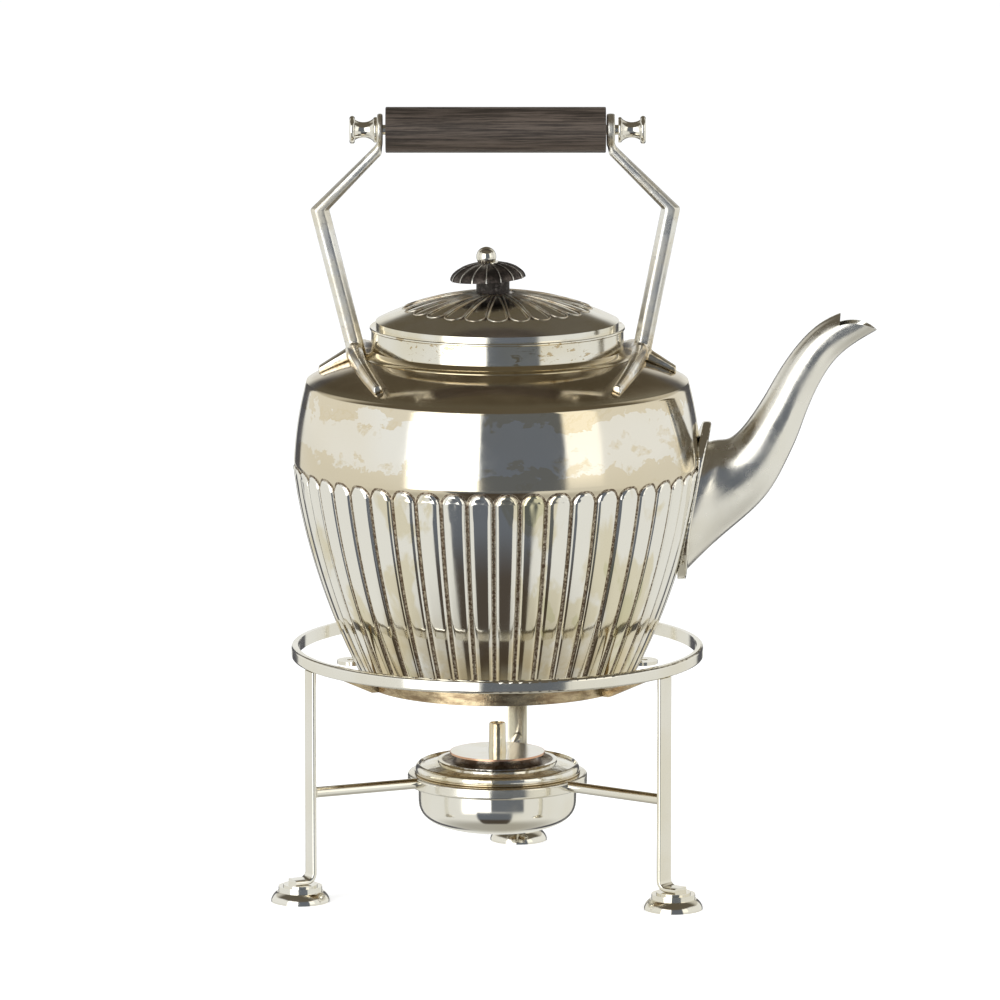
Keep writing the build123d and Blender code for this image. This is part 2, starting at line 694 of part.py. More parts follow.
# Finial: a waisted button that screws onto the rod's end. Its inner face is at zero here.
with BuildPart() as finial:
    with BuildSketch(Plane.XY):
        with BuildLine():
            Polyline((0, rod_r), (0, finial_neck_r))
            ThreePointArc((0, finial_neck_r), (finial_collar / 2, finial_neck_r + 0.3),
                          (finial_collar, finial_neck_r - 0.4))
            ThreePointArc((finial_collar, finial_neck_r - 0.4), (finial_length / 2, finial_waist_r),
                          (finial_length - finial_rim, finial_waist_r + 1.1))
            Polyline((finial_length - finial_rim, finial_waist_r + 1.1), (finial_length - finial_rim, finial_r - 0.8))
            ThreePointArc((finial_length - finial_rim, finial_r - 0.8), (finial_length - finial_rim / 2, finial_r),
                          (finial_length, finial_r - 0.8))
            Polyline((finial_length, finial_r - 0.8), (finial_length, 0), (rod_in_finial, 0),
                     (rod_in_finial, rod_r), (0, rod_r))
        make_face()
    revolve(axis=Axis.X)
right_finial = finial.part.moved(Location((right_eye[1] + finial_play, 0, grip_z)))
left_finial = finial.part.mirror(Plane.YZ).moved(Location((-left_eye[1], 0, grip_z)))
write_piece(right_finial, "finial_right")
write_piece(left_finial, "finial_left")

# Lid: a low dome with 24 petals chased round the knob.
dome_rise = lid_dome_z - lid_edge_z
dome_radius = (lid_r ** 2 + dome_rise ** 2) / (2 * dome_rise)
dome_centre_z = lid_dome_z - dome_radius


def dome_height(radius, depth=0):
    """Height of the dome's surface, or of one under it, at a distance from the axis."""
    return dome_centre_z + sqrt((dome_radius - depth) ** 2 - radius ** 2)


petal_slope = tan(radians(petal_pitch / 2))
petal_end_r = petal_outer_r / (1 + petal_slope)
petal_end_half = petal_end_r * petal_slope
petal_start_half = petal_inner_r * petal_slope


def petal_outline(margin):
    """A petal's outline in plan, pointing to +X, drawn in at its sides and end by the margin."""
    end = petal_end_half - margin
    start = petal_start_half - margin
    with BuildLine() as outline:
        Polyline((petal_end_r, -end), (petal_inner_r, -start), (petal_inner_r, start), (petal_end_r, end))
        ThreePointArc((petal_end_r, end), (petal_end_r + end, 0), (petal_end_r, -end))
    return outline.line


# One petal's convex face, standing at +X: a bar that follows the dome.
with BuildPart() as petal:
    with BuildSketch(Plane.YZ):
        with Locations((0, lid_dome_z - petal_crest_drop - petal_section_r)):
            Circle(petal_section_r)
    revolve(axis=Axis((0, 0, dome_centre_z), (0, 1, 0)), revolution_arc=30)
    with BuildSketch(Plane.XY.offset(lid_seat_z)):
        with BuildLine():
            add(petal_outline(petal_channel / 2))
        make_face()
    extrude(amount=lid_dome_z - lid_seat_z + lid_wall, mode=Mode.INTERSECT)

# What is chased out of the dome for one petal: a pocket, less the petal's convex face.
with BuildPart() as petal_pocket:
    with BuildSketch(Plane.XY.offset(lid_seat_z)):
        with BuildLine():
            add(petal_outline(-petal_channel / 20))
        make_face()
    extrude(amount=lid_dome_z - lid_seat_z + lid_wall)
    with Locations((0, 0, dome_centre_z)):
        Sphere(dome_radius - petal_depth, mode=Mode.SUBTRACT)
    add(petal.part, mode=Mode.SUBTRACT)

# Knob, from the dome up: a stem, a ribbed cap that has tilted, and a ball on a leaning screw.
screw_frame = Location((0, 0, knob_pivot_z), (0, -knob_screw_lean, 0))
cap_frame = Location((knob_cap_shift, 0, knob_cap_low), (0, -knob_cap_lean, 0))
washer_z = knob_ball_reach - sqrt(knob_ball_r ** 2 - (knob_ball_r - ball_washer_height) ** 2)
with BuildPart() as knob_screw:
    with BuildSketch(Plane.XZ):
        Polygon((0, 0), (shank_r, 0), (shank_r, washer_z - ball_washer_height),
                (ball_washer_r, washer_z - ball_washer_height), (ball_washer_r, washer_z), (0, washer_z),
                align=None)
    revolve(axis=Axis.Z)
    with Locations((0, 0, knob_ball_reach)):
        Sphere(knob_ball_r)
knob_ball = knob_screw.part.moved(screw_frame)
write_piece(knob_ball, "knob_ball")

with BuildPart() as lid_dome:
    with Locations((0, 0, dome_centre_z)):
        Sphere(dome_radius)
        Sphere(dome_radius - lid_wall, mode=Mode.SUBTRACT)
    with BuildSketch(Plane.XY.offset(lid_edge_z)):
        Circle(lid_r)
    extrude(amount=lid_dome_z - lid_edge_z + lid_wall, mode=Mode.INTERSECT)
    with BuildSketch(Plane.XY.offset(lid_seat_z)):
        Circle(lid_r)
        Circle(bezel_r, mode=Mode.SUBTRACT)
    extrude(amount=lid_edge)
    with PolarLocations(0, petal_count, start_angle=petal_phase - 90):
        add(petal_pocket.part, mode=Mode.SUBTRACT)
    add(knob_ball, mode=Mode.SUBTRACT)
write_piece(lid_dome.part, "lid_dome")

# Bezel: the collar under the lid that drops into the kettle's neck.
with BuildPart() as lid_bezel:
    with BuildSketch(Plane.XY.offset(lid_seat_z - bezel_height)):
        Circle(bezel_r)
        Circle(bezel_r - bezel_wall, mode=Mode.SUBTRACT)
    extrude(amount=bezel_height + lid_edge)
    with Locations((0, 0, dome_centre_z)):
        Sphere(dome_radius - lid_wall, mode=Mode.INTERSECT)
write_piece(lid_bezel.part, "lid_bezel")


def half_ellipse(radius, height):
    """A domed solid of elliptical section with its flat side down at the origin."""
    with BuildPart() as form:
        with BuildSketch(Plane.XZ):
            with BuildLine():
                EllipticalCenterArc((0, 0), radius, height, start_angle=0, arc_size=90)
                Polyline((0, height), (0, 0), (radius, 0))
            make_face()
        revolve(axis=Axis.Z)
    return form.part


with BuildPart() as cap_ridges:
    with PolarLocations(0, gadroon_count // 2, start_angle=gadroon_phase - 90, angular_range=180):
        Box(2 * knob_cap_r + 2, gadroon_ridge_width, knob_cap_height + 1,
            align=(Align.CENTER, Align.CENTER, Align.MIN))
    add(half_ellipse(knob_cap_r + gadroon_ridge, knob_cap_height + gadroon_ridge), mode=Mode.INTERSECT)

with BuildPart() as cap_form:
    add(half_ellipse(knob_cap_r, knob_cap_height))
    add(cap_ridges.part)
    add(half_ellipse(knob_cap_r - knob_cap_hollow, knob_cap_height / 2), mode=Mode.SUBTRACT)

with BuildPart() as knob_cap:
    add(cap_form.part.moved(cap_frame))
    add(knob_ball, mode=Mode.SUBTRACT)
knob_cap_solid = knob_cap.part.solids().sort_by(SortBy.VOLUME)[-1]
write_piece(knob_cap_solid, "knob_cap")

with BuildPart() as knob_stem:
    with BuildSketch(Plane.XY.offset(lid_dome_z - lid_wall)):
        with Locations((knob_stem_shift, 0)):
            Circle(knob_stem_r)
    extrude(amount=knob_stem_top - lid_dome_z + lid_wall)
    with Locations((0, 0, dome_centre_z)):
        Sphere(dome_radius, mode=Mode.SUBTRACT)
    add(knob_cap_solid, mode=Mode.SUBTRACT)
    add(knob_ball, mode=Mode.SUBTRACT)
write_piece(knob_stem.part, "knob_stem")

with BuildPart() as knob_nut:
    with BuildSketch(Plane.XY.offset(lid_dome_z - lid_wall - knob_nut_height)):
        RegularPolygon(knob_nut_r, 6)
    extrude(amount=knob_nut_height)
    with Locations((0, 0, dome_centre_z)):
        Sphere(dome_radius - lid_wall, mode=Mode.INTERSECT)
    add(knob_ball, mode=Mode.SUBTRACT)
write_piece(knob_nut.part, "knob_nut")

# Burner bowl: a deep round-bottomed cup.
cup_in = burner_r - sheet
with BuildPart() as burner_bowl:
    with BuildSketch(Plane.XZ):
        with BuildLine():
            Polyline((0, burner_low), (burner_flat_r, burner_low))
            ThreePointArc((burner_flat_r, burner_low), burner_curve, (burner_r, burner_side_z))
            Polyline((burner_r, burner_side_z), (burner_r, cradle_top + sheet), (cup_in, cradle_top + sheet),
                     (cup_in, burner_side_z))
            ThreePointArc((cup_in, burner_side_z), (burner_curve[0] - sheet * 0.7, burner_curve[1] + sheet * 0.7),
                          (burner_flat_r, burner_low + sheet))
            Polyline((burner_flat_r, burner_low + sheet), (0, burner_low + sheet), (0, burner_low))
        make_face()
    revolve(axis=Axis.Z)
write_piece(burner_bowl.part, "burner_bowl")

# Burner top: a rounded rim that hangs in the cradle, a dished top, a step and a collar.
dish_z = burner_rim_top - burner_dish_depth
step_low = burner_step_z - burner_step_height
wire_top = cradle_top + burner_wire_height
bore_r = collar_r - collar_wall
with BuildPart() as burner_top:
    with BuildSketch(Plane.XZ):
        with BuildLine():
            Polyline((burner_r, cradle_top), (burner_rim_r, cradle_top))
            ThreePointArc((burner_rim_r, cradle_top),
                          (burner_rim_r + burner_wire, cradle_top + burner_wire_height / 2), (burner_rim_r, wire_top))
            ThreePointArc((burner_rim_r, wire_top), (burner_rim_r - 0.1, wire_top + 1.8),
                          (burner_rim_r - 1.3, burner_rim_top))
            Polyline((burner_rim_r - 1.3, burner_rim_top), (burner_rim_r - 2.1, dish_z), (burner_step_r, step_low),
                     (burner_step_r, burner_step_z), (burner_step_r - burner_step_width, burner_step_z),
                     (burner_step_r - burner_step_width, step_low))
            ThreePointArc((burner_step_r - burner_step_width, step_low), (collar_r + 1.6, step_low + 0.7),
                          (collar_r, collar_top))
            Polyline((collar_r, collar_top), (bore_r, collar_top), (bore_r, step_low - sheet),
                     (burner_step_r, step_low - sheet), (cup_in, cradle_top + sheet),
                     (burner_r, cradle_top + sheet), (burner_r, cradle_top))
        make_face()
    revolve(axis=Axis.Z)
write_piece(burner_top.part, "burner_top")

# Wick holder: a flat plate with a skirt in the collar, a tapered tube, and the wick in it.
skirt_r = bore_r - wick_skirt_gap
plate_top = collar_top + wick_plate_height
wick_bore = tube_top_r - tube_wall
tube_neck_r = tube_low_r - tube_wall
with BuildPart() as wick_plate:
    with BuildSketch(Plane.XZ):
        Polygon((tube_neck_r, collar_top), (skirt_r - wick_skirt_wall, collar_top),
                (skirt_r - wick_skirt_wall, collar_top - wick_skirt_depth), (skirt_r, collar_top - wick_skirt_depth),
                (skirt_r, collar_top), (wick_plate_r, collar_top), (wick_plate_r, plate_top),
                (tube_neck_r, plate_top), align=None)
    revolve(axis=Axis.Z)
write_piece(wick_plate.part, "wick_plate")

with BuildPart() as wick_tube:
    with BuildSketch(Plane.XZ):
        Polygon((wick_bore, plate_top - tube_tail), (tube_neck_r, plate_top - tube_tail), (tube_neck_r, plate_top),
                (tube_low_r, plate_top), (tube_top_r, tube_top_z), (wick_bore, tube_top_z), align=None)
    revolve(axis=Axis.Z)
write_piece(wick_tube.part, "wick_tube")

with BuildPart() as wick:
    with BuildSketch(Plane.XY.offset(wick_tail_z)):
        Circle(wick_bore)
    extrude(amount=tube_top_z - wick_sunk - wick_tail_z)
write_piece(wick.part, "wick")
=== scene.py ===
import math
import bmesh
import bpy
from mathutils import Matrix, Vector


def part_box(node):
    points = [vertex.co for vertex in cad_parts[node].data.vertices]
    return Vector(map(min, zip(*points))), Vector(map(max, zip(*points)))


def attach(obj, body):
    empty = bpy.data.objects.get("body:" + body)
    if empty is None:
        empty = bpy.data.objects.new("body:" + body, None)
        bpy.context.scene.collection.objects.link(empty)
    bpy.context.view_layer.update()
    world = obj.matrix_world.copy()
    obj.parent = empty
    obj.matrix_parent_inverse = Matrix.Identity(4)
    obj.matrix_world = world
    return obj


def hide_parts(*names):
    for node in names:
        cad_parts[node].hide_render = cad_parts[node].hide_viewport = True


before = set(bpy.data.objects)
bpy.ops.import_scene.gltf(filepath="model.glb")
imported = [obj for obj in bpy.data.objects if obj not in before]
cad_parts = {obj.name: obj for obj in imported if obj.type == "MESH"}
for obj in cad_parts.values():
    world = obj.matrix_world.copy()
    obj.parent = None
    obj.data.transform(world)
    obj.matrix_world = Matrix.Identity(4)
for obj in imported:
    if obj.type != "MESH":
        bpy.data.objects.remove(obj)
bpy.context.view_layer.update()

# Where things stand, read from the frame. Metres throughout, heights from the table up.
base_low, base_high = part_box("kettle_base")
axis_x = (base_low[0] + base_high[0]) / 2
axis_y = (base_low[1] + base_high[1]) / 2
base_rim_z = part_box("kettle_bowl")[0][2]
neck_foot_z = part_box("kettle_neck")[0][2]
lid_low, lid_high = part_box("lid_dome")
cap_low, cap_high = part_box("knob_cap")
plate_low, plate_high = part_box("wick_plate")
ring_low, ring_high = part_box("stand_ring")

# The bowl's outline: an arc from the foot to its widest, and a flatter one up to the crease.
foot_r = 0.0593
widest_r = 0.0865
widest_z = 0.1780
flank_rise = 0.00355
crease_r = 0.0810
crease_z = 0.2175
band_rise = 0.00135
bowl_wall = 0.0028

# The fluting: round tops, half the channel between two flutes, the swell of each flute against its half
# width, the shallow facet at its head, and the ledge where the wall draws in under the band.
flute_count = 48
flute_phase = math.radians(2.65)
flute_apex_z = 0.1818
flute_gap = 0.00075
flute_swell = 0.34
flute_half = widest_r * math.pi / flute_count - flute_gap
flute_spring_z = flute_apex_z - flute_half
facet_z = 0.1770
facet_depth = 0.0075
facet_half = 0.0043
facet_dip = 0.00024
facet_top_z = flute_apex_z - 0.0010
ledge_foot_z = 0.1785
ledge_top_z = 0.1838

# The rows of the bowl's strip: wide ones up the flank, fine ones round the flutes' tops, then the band, and
# the plain inside.
flank_rows = 26
head_rows = 40
band_rows = 12
inner_rows = 11
strip_columns = 19
head_low_z = 0.1680
head_high_z = 0.1845

# The lid's petals, and the knob's ribs.
lid_edge = 0.0024
petal_count = 24
petal_inner_r = 0.0070
petal_end_r = 0.0357
petal_end_half = 0.0043
petal_wire_r = 0.00038
petal_bend_points = 17
petal_points = 56
petal_wire_sides = 6
gadroon_count = 16
gadroon_phase = math.radians(-2.3)

# The stand's legs: flat strips with eased edges, bent outwards onto the feet.
leg_count = 3
leg_width = 0.0086
leg_thickness = 0.0020
leg_inset = 0.0012
leg_toe = 0.0086
leg_bend_r = 0.0036
leg_bend_points = 10
leg_edge_r = 0.0007
leg_edge_points = 4
rear_leg_angle = math.radians(84.2)

# The burner: where its sides turn straight, how square its lower corner is, and its sheet. Then the wick
# tube: its radii from the top down, the heights of its lip and of its flared foot, and its walls.
burner_side_z = 0.0380
burner_fullness = 2.9
burner_sheet = 0.0010
corner_steps = 22
turning_steps = 96
sleeve_r = 0.0035
sleeve_foot_r = 0.0038
sleeve_neck_r = 0.0031
sleeve_lip = 0.0005
sleeve_flare = 0.0030
sleeve_taper = 0.0001
sleeve_wall = 0.0007
thin_wall = 0.0006
lip_ease = 0.0002

# How finely the worn edges of the arms and the spout's plate are cut, and how often they are rubbed over.
wear_grain = 0.00045
wear_rounds = 8

# Points nearer to each other than this are joined, and an edge sharper than this angle stays crisp.
strip_seam = 0.00001
solid_seam = 0.000002
turning_seam = 0.0000001
crisp_angle = math.radians(40)

# Where the stains, worn places, painted shade and painted reflection begin and end.
band_tan_z = 0.1910
band_tan_top = 0.0070
foot_stain = 0.042
shoulder_clean_r = 0.0770
# How high the neck's foot flares; the painted golden reflection reaches up to there.
neck_flare = 0.0041
arm_foot_z = 0.2280
rim_line_z = 0.0492
soot_r = 0.0235
# How far out the painted shade between the lid's petals reaches.
petal_shade_r = 0.0385
knob_dirt_r = 0.0120
wick_burnt_z = 0.0685

# The studio, in degrees round from the front towards the spout, and in heights from straight down, -1,
# through level, 0, to straight up, 1.
bright_screen = (-52, -10)
bright_screen_rise = (-0.30, 0.75)
dark_opening = (-10, 39)
low_opening = (-31, 22)
opening_foot = -0.88
opening_split = -0.27
opening_top = 0.9
soft_screen = (39, 62)
soft_screen_rise = (-0.05, 0.70)
backdrop_gap = (150, 167)
gap_foot = (-0.85, -0.70)
backdrop_edge = 0.32
wall_top = 0.62
wall_foot = (-0.10, 0.0)
table_fade = (-0.95, -0.55)
gloom_fade = (-0.66, -0.50)

# The ceiling comes lower towards the back and turns pale there at both sides. These are directions too: 0 is
# neither way, 1 is straight to the back or to the spout's side, and -1 the opposite.
ceiling_slope = (-0.2, 0.8)
ceiling_seam = (-0.04, 0.06)
pale_back = (0.2, 0.6)
pale_right = (0.28, 0.50)
pale_left = (-0.60, -0.36)

# How bright and what colour the room's parts are.
white = (1.0, 1.0, 1.0)
wall_white = (0.86, 0.86, 0.83)
table_near = (0.42, 0.41, 0.37)
table_far = (0.80, 0.80, 0.76)
bright_screen_light = (2.4, 2.4, 2.35)
soft_screen_light = (1.25, 1.22, 1.12)
gloom_low = (0.075, 0.062, 0.050)
gloom_high = (0.135, 0.15, 0.175)
gap_grey = (0.10, 0.10, 0.11)
ceiling_brown = (0.118, 0.102, 0.075)
ceiling_pale = (0.60, 0.58, 0.52)
room_fill = (0.62, 0.63, 0.65)
floor_white = (0.95, 0.95, 0.95)
floor_glow = 0.42
floor_reach = 6

# The two lamps, each to one side of the camera.
lamp_size = 1.2
lamp_aim_z = 0.15
left_lamp = (-1.6, -1.0, 1.3)
left_lamp_power = 16
right_lamp = (1.7, -0.6, 1.2)
right_lamp_power = 12

# The camera, long-lensed and a little above, as the photograph was taken.
camera_reach = 3.5
camera_height = 0.745
camera_side = 0.0011
aim_height = 0.1659
frame_width = 0.425
film_width = 36
view_end = 50

# The colours of the finishes.
bright_silver = (0.90, 0.88, 0.82)
warm_silver = (0.80, 0.74, 0.58)
tan_tarnish = (0.70, 0.58, 0.36)
golden_tarnish = (0.50, 0.38, 0.20)
olive_tarnish = (0.60, 0.58, 0.34)
brown_tarnish = (0.15, 0.10, 0.065)
black_crust = (0.045, 0.038, 0.034)
rubbed_copper = (0.78, 0.48, 0.32)
brass_gold = (0.74, 0.60, 0.38)
band_cream = (0.86, 0.81, 0.70)
burner_soot = (0.17, 0.115, 0.08)
lid_grime = (0.36, 0.30, 0.24)
# The brown of the painted shade between the lid's petals.
petal_shade_brown = (0.15, 0.11, 0.085)
satin_pale = (0.93, 0.92, 0.88)
satin_warm = (0.86, 0.82, 0.72)
satin_gold = (0.72, 0.60, 0.41)
satin_speck = (0.50, 0.48, 0.45)
shoulder_gold = (0.70, 0.61, 0.46)
shoulder_brown = (0.52, 0.44, 0.31)
scorched_gold = (0.58, 0.47, 0.30)
scorched_brown = (0.28, 0.20, 0.12)
thin_crust = (0.14, 0.115, 0.10)
crust_bloom = (0.20, 0.18, 0.17)
wood_dark = (0.030, 0.023, 0.018)
wood_light = (0.135, 0.105, 0.083)
raw_cotton = (0.55, 0.48, 0.38)
singed_cotton = (0.03, 0.025, 0.02)
wire_pale = (0.92, 0.88, 0.78)
wire_tan = (0.70, 0.60, 0.46)


class Recipe:
    """Short ways to add and join the nodes of one shader tree."""

    def __init__(self, tree):
        self.nodes = tree.nodes
        self.links = tree.links

    def feed(self, socket, value):
        """Joins a socket to another node's output, or sets it to a plain value."""
        if hasattr(value, "is_output"):
            self.links.new(value, socket)
        else:
            socket.default_value = value

    def sum(self, operation, first, second=0.0, third=0.0):
        """One step of arithmetic."""
        node = self.nodes.new("ShaderNodeMath")
        node.operation = operation
        self.feed(node.inputs[0], first)
        self.feed(node.inputs[1], second)
        self.feed(node.inputs[2], third)
        return node.outputs[0]

    def times(self, *factors):
        """The product of some values."""
        result = factors[0]
        for factor in factors[1:]:
            result = self.sum("MULTIPLY", result, factor)
        return result

    def spread(self, value, low, high, out_low=0.0, out_high=1.0):
        """A value that rises smoothly from one level to another between two limits."""
        node = self.nodes.new("ShaderNodeMapRange")
        node.interpolation_type = "SMOOTHSTEP"
        self.feed(node.inputs["Value"], value)
        limits = {"From Min": low, "From Max": high, "To Min": out_low, "To Max": out_high}
        for socket, limit in limits.items():
            self.feed(node.inputs[socket], limit)
        return node.outputs["Result"]

    def between(self, value, low, high, soft):
        """1 between two limits and 0 outside them, with soft edges."""
        rising = self.spread(value, low - soft, low + soft)
        return self.times(rising, self.spread(value, high - soft, high + soft, 1, 0))

    def blend(self, amount, first, second):
        """A colour between two others."""
        node = self.nodes.new("ShaderNodeMix")
        node.data_type = "RGBA"
        self.feed(node.inputs["Factor"], amount)
        for socket, colour in ((node.inputs[6], first), (node.inputs[7], second)):
            self.feed(socket, colour if hasattr(colour, "is_output") else (*colour, 1.0))
        return node.outputs[2]


class Shade(Recipe):
    """A material, with its place measured from the kettle's upright axis."""

    def __init__(self, name):
        self.material = bpy.data.materials.new(name)
        self.material.use_nodes = True
        super().__init__(self.material.node_tree)
        self.skin = self.nodes["Principled BSDF"]
        coordinates = self.nodes.new("ShaderNodeTexCoord")
        centre = self.nodes.new("ShaderNodeMapping")
        centre.inputs["Location"].default_value = (-axis_x, -axis_y, 0)
        self.links.new(coordinates.outputs["Object"], centre.inputs["Vector"])
        self.place = centre.outputs["Vector"]
        split = self.nodes.new("ShaderNodeSeparateXYZ")
        self.links.new(self.place, split.inputs[0])
        self.x, self.y, self.z = split.outputs

    def stretched(self, scale, turn=(0, 0, 0)):
        """The place on the object, stretched or turned."""
        node = self.nodes.new("ShaderNodeMapping")
        self.links.new(self.place, node.inputs["Vector"])
        node.inputs["Scale"].default_value = scale
        node.inputs["Rotation"].default_value = turn
        return node.outputs["Vector"]

    def noise(self, scale, detail=2.0, roughness=0.5, place=None, distortion=0.0):
        """A cloudy pattern from 0 to 1."""
        node = self.nodes.new("ShaderNodeTexNoise")
        self.links.new(place or self.place, node.inputs["Vector"])
        node.inputs["Scale"].default_value = scale
        node.inputs["Detail"].default_value = detail
        node.inputs["Roughness"].default_value = roughness
        node.inputs["Distortion"].default_value = distortion
        return node.outputs["Fac"]

    def radius(self):
        """Distance from the kettle's upright axis."""
        return self.sum("SQRT", self.sum("ADD", self.times(self.x, self.x), self.times(self.y, self.y)))

    def around(self, count, phase, x_shift=0.0):
        """0 in the middle of each of a number of equal sectors, 1 at their edges."""
        angle = self.sum("ARCTAN2", self.sum("SUBTRACT", self.x, x_shift), self.times(self.y, -1.0))
        turns = self.times(self.sum("SUBTRACT", angle, phase), count / math.tau)
        part = self.sum("FRACT", self.sum("ADD", turns, count + 0.5))
        return self.times(self.sum("ABSOLUTE", self.sum("SUBTRACT", part, 0.5)), 2.0)

    def rub(self, height, depth, strength=1.0):
        """A small relief on the surface."""
        node = self.nodes.new("ShaderNodeBump")
        node.inputs["Distance"].default_value = depth
        node.inputs["Strength"].default_value = strength
        self.feed(node.inputs["Height"], height)
        self.links.new(node.outputs["Normal"], self.skin.inputs["Normal"])

    def finish(self, colour, roughness, metallic=1.0):
        """Sets the surface's colour and polish."""
        if not hasattr(colour, "is_output"):
            colour = (*colour, 1.0)
        self.feed(self.skin.inputs["Base Color"], colour)
        self.feed(self.skin.inputs["Roughness"], roughness)
        self.feed(self.skin.inputs["Metallic"], metallic)
        return self.material


def plated(name, warmth=0.35, polish=0.10, clouds=0.5):
    """Polished silver plate with warm, cloudy tarnish and fine wiping marks."""
    shade = Shade(name)
    cloud = shade.noise(28, 4, 0.55)
    drift = shade.noise(9, 2, 0.5)
    patches = shade.spread(cloud, 0.42, 0.62, 0, clouds * 0.5)
    amount = shade.sum("ADD", patches, shade.spread(drift, 0.35, 0.7, 0, warmth))
    colour = shade.blend(amount, bright_silver, warm_silver)
    marks = shade.noise(600, 3, 0.6, shade.stretched((1, 1, 0.08), (0, 0.4, 0.3)))
    waves = shade.noise(34, 1, 0.4)
    shade.rub(shade.sum("ADD", waves, shade.sum("MULTIPLY", marks, 0.03)), 0.0005, 0.6)
    rough = shade.spread(shade.noise(60, 3, 0.6), 0.3, 0.75, polish * 0.7, polish * 1.7)
    return shade.finish(colour, rough)


def fluted_bowl():
    """The bowl: flutes with brown, matted channels, and a band with map-like pale patches, tan where the
    cloth didn't reach."""
    shade = Shade("bowl silver")
    half = shade.times(shade.radius(), math.pi / flute_count)
    aside = shade.times(shade.around(flute_count, flute_phase), half)
    above = shade.sum("MAXIMUM", shade.sum("SUBTRACT", shade.z, flute_spring_z), 0.0)
    out = shade.sum("SQRT", shade.sum("ADD", shade.times(aside, aside), shade.times(above, above)))
    beyond = shade.sum("SUBTRACT", out, shade.sum("SUBTRACT", half, flute_gap))
    channel = shade.times(shade.between(beyond, -0.00005, 0.00100, 0.00012),
                          shade.spread(shade.z, flute_apex_z + 0.0004, flute_apex_z + 0.0010, 1, 0))
    on_flute = shade.times(shade.spread(beyond, -0.0002, 0.0002, 1, 0),
                           shade.spread(shade.z, ledge_top_z, ledge_top_z + 0.0005, 1, 0))
    stipple = shade.noise(900, 2, 0.7)
    dirt = shade.times(channel, shade.spread(stipple, 0.30, 0.62, 0.35, 1.0))

    streak = shade.noise(34, 4, 0.6, shade.stretched((1, 1, 0.45)), 0.4)
    flute = shade.blend(shade.spread(streak, 0.50, 0.56), bright_silver, warm_silver)
    flute = shade.blend(shade.spread(streak, 0.62, 0.65, 0, 0.5), flute, olive_tarnish)
    foot = shade.spread(shade.z, base_rim_z, base_rim_z + foot_stain, 0.95, 0)
    tan_foot = shade.times(foot, shade.spread(shade.noise(60, 4, 0.6), 0.35, 0.6))
    flute = shade.blend(tan_foot, flute, tan_tarnish)

    cloud = shade.noise(58, 6, 0.6, shade.stretched((1, 1, 1.6)), 0.2)
    height = shade.sum("ADD", shade.z, shade.spread(cloud, 0.3, 0.7, -0.006, 0.006))
    low = shade.spread(height, band_tan_z - 0.0005, band_tan_z + 0.0005, 1, 0)
    high = shade.spread(height, crease_z - band_tan_top - 0.0005, crease_z - band_tan_top + 0.0005)
    island = shade.spread(cloud, 0.60, 0.615)
    tan = shade.sum("MAXIMUM", shade.sum("MAXIMUM", low, high), island)
    border = shade.between(cloud, 0.575, 0.605, 0.006)
    band = shade.blend(shade.spread(shade.noise(14, 2, 0.5), 0.35, 0.7), bright_silver, band_cream)
    band = shade.blend(shade.times(tan, 0.55), band, tan_tarnish)
    band = shade.blend(shade.times(border, 0.25), band, tan_tarnish)

    colour = shade.blend(dirt, shade.blend(on_flute, band, flute), brown_tarnish)
    hair = shade.noise(700, 3, 0.6, shade.stretched((1, 1, 0.06), (0, 0.5, 0.2)))
    relief = shade.sum("ADD", shade.noise(30, 1, 0.4), shade.times(hair, 0.02))
    shade.rub(shade.sum("ADD", relief, shade.times(channel, stipple, 0.5)), 0.0004, 0.5)
    polish = shade.spread(shade.noise(70, 3, 0.6), 0.3, 0.75, 0.06, 0.14)
    return shade.finish(colour, shade.sum("ADD", polish, shade.times(dirt, 0.4)))


def collar_silver():
    """The neck: pale, with small brown stains, and a painted golden reflection where its foot flares."""
    shade = Shade("neck silver")
    stain = shade.noise(190, 5, 0.65, shade.stretched((1, 1, 2.2)), 0.6)
    stain = shade.times(shade.spread(stain, 0.56, 0.61), shade.spread(shade.noise(36, 2, 0.5), 0.46, 0.54))
    # Painted reflection: the tan colour laid on where the foot flares stands for a golden reflection.
    flare_z = neck_foot_z + neck_flare
    flare = shade.spread(shade.z, flare_z - 0.0005, flare_z + 0.0005, 0.8, 0)
    base = shade.blend(shade.spread(shade.noise(20, 3, 0.5), 0.35, 0.7), bright_silver, warm_silver)
    colour = shade.blend(shade.times(stain, 0.8), base, golden_tarnish)
    colour = shade.blend(flare, colour, tan_tarnish)
    shade.rub(shade.noise(34, 1, 0.4), 0.0004, 0.5)
    return shade.finish(colour, shade.spread(shade.noise(60, 3, 0.6), 0.3, 0.75, 0.07, 0.16))


def burner_cover():
    """The burner's top: silver rim with golden lines, and a brown, sooted recess under the cover plate."""
    shade = Shade("burner top, sooted")
    reach = shade.radius()
    soot = shade.spread(shade.noise(150, 5, 0.65), 0.35, 0.6, 0.55, 1.0)
    recess = shade.times(shade.spread(reach, soot_r - 0.001, soot_r + 0.001, 1, 0), soot)
    cloud = shade.noise(70, 4, 0.6)
    line = shade.spread(shade.z, rim_line_z - 0.0006, rim_line_z + 0.0006, 1, 0)
    base = shade.blend(shade.spread(cloud, 0.42, 0.62), bright_silver, warm_silver)
    base = shade.blend(shade.times(line, 0.8), base, golden_tarnish)
    colour = shade.blend(recess, base, burner_soot)
    shade.rub(shade.noise(200, 3, 0.6), 0.0003, 0.5)
    return shade.finish(colour, shade.sum("ADD", shade.times(recess, 0.25), 0.12))


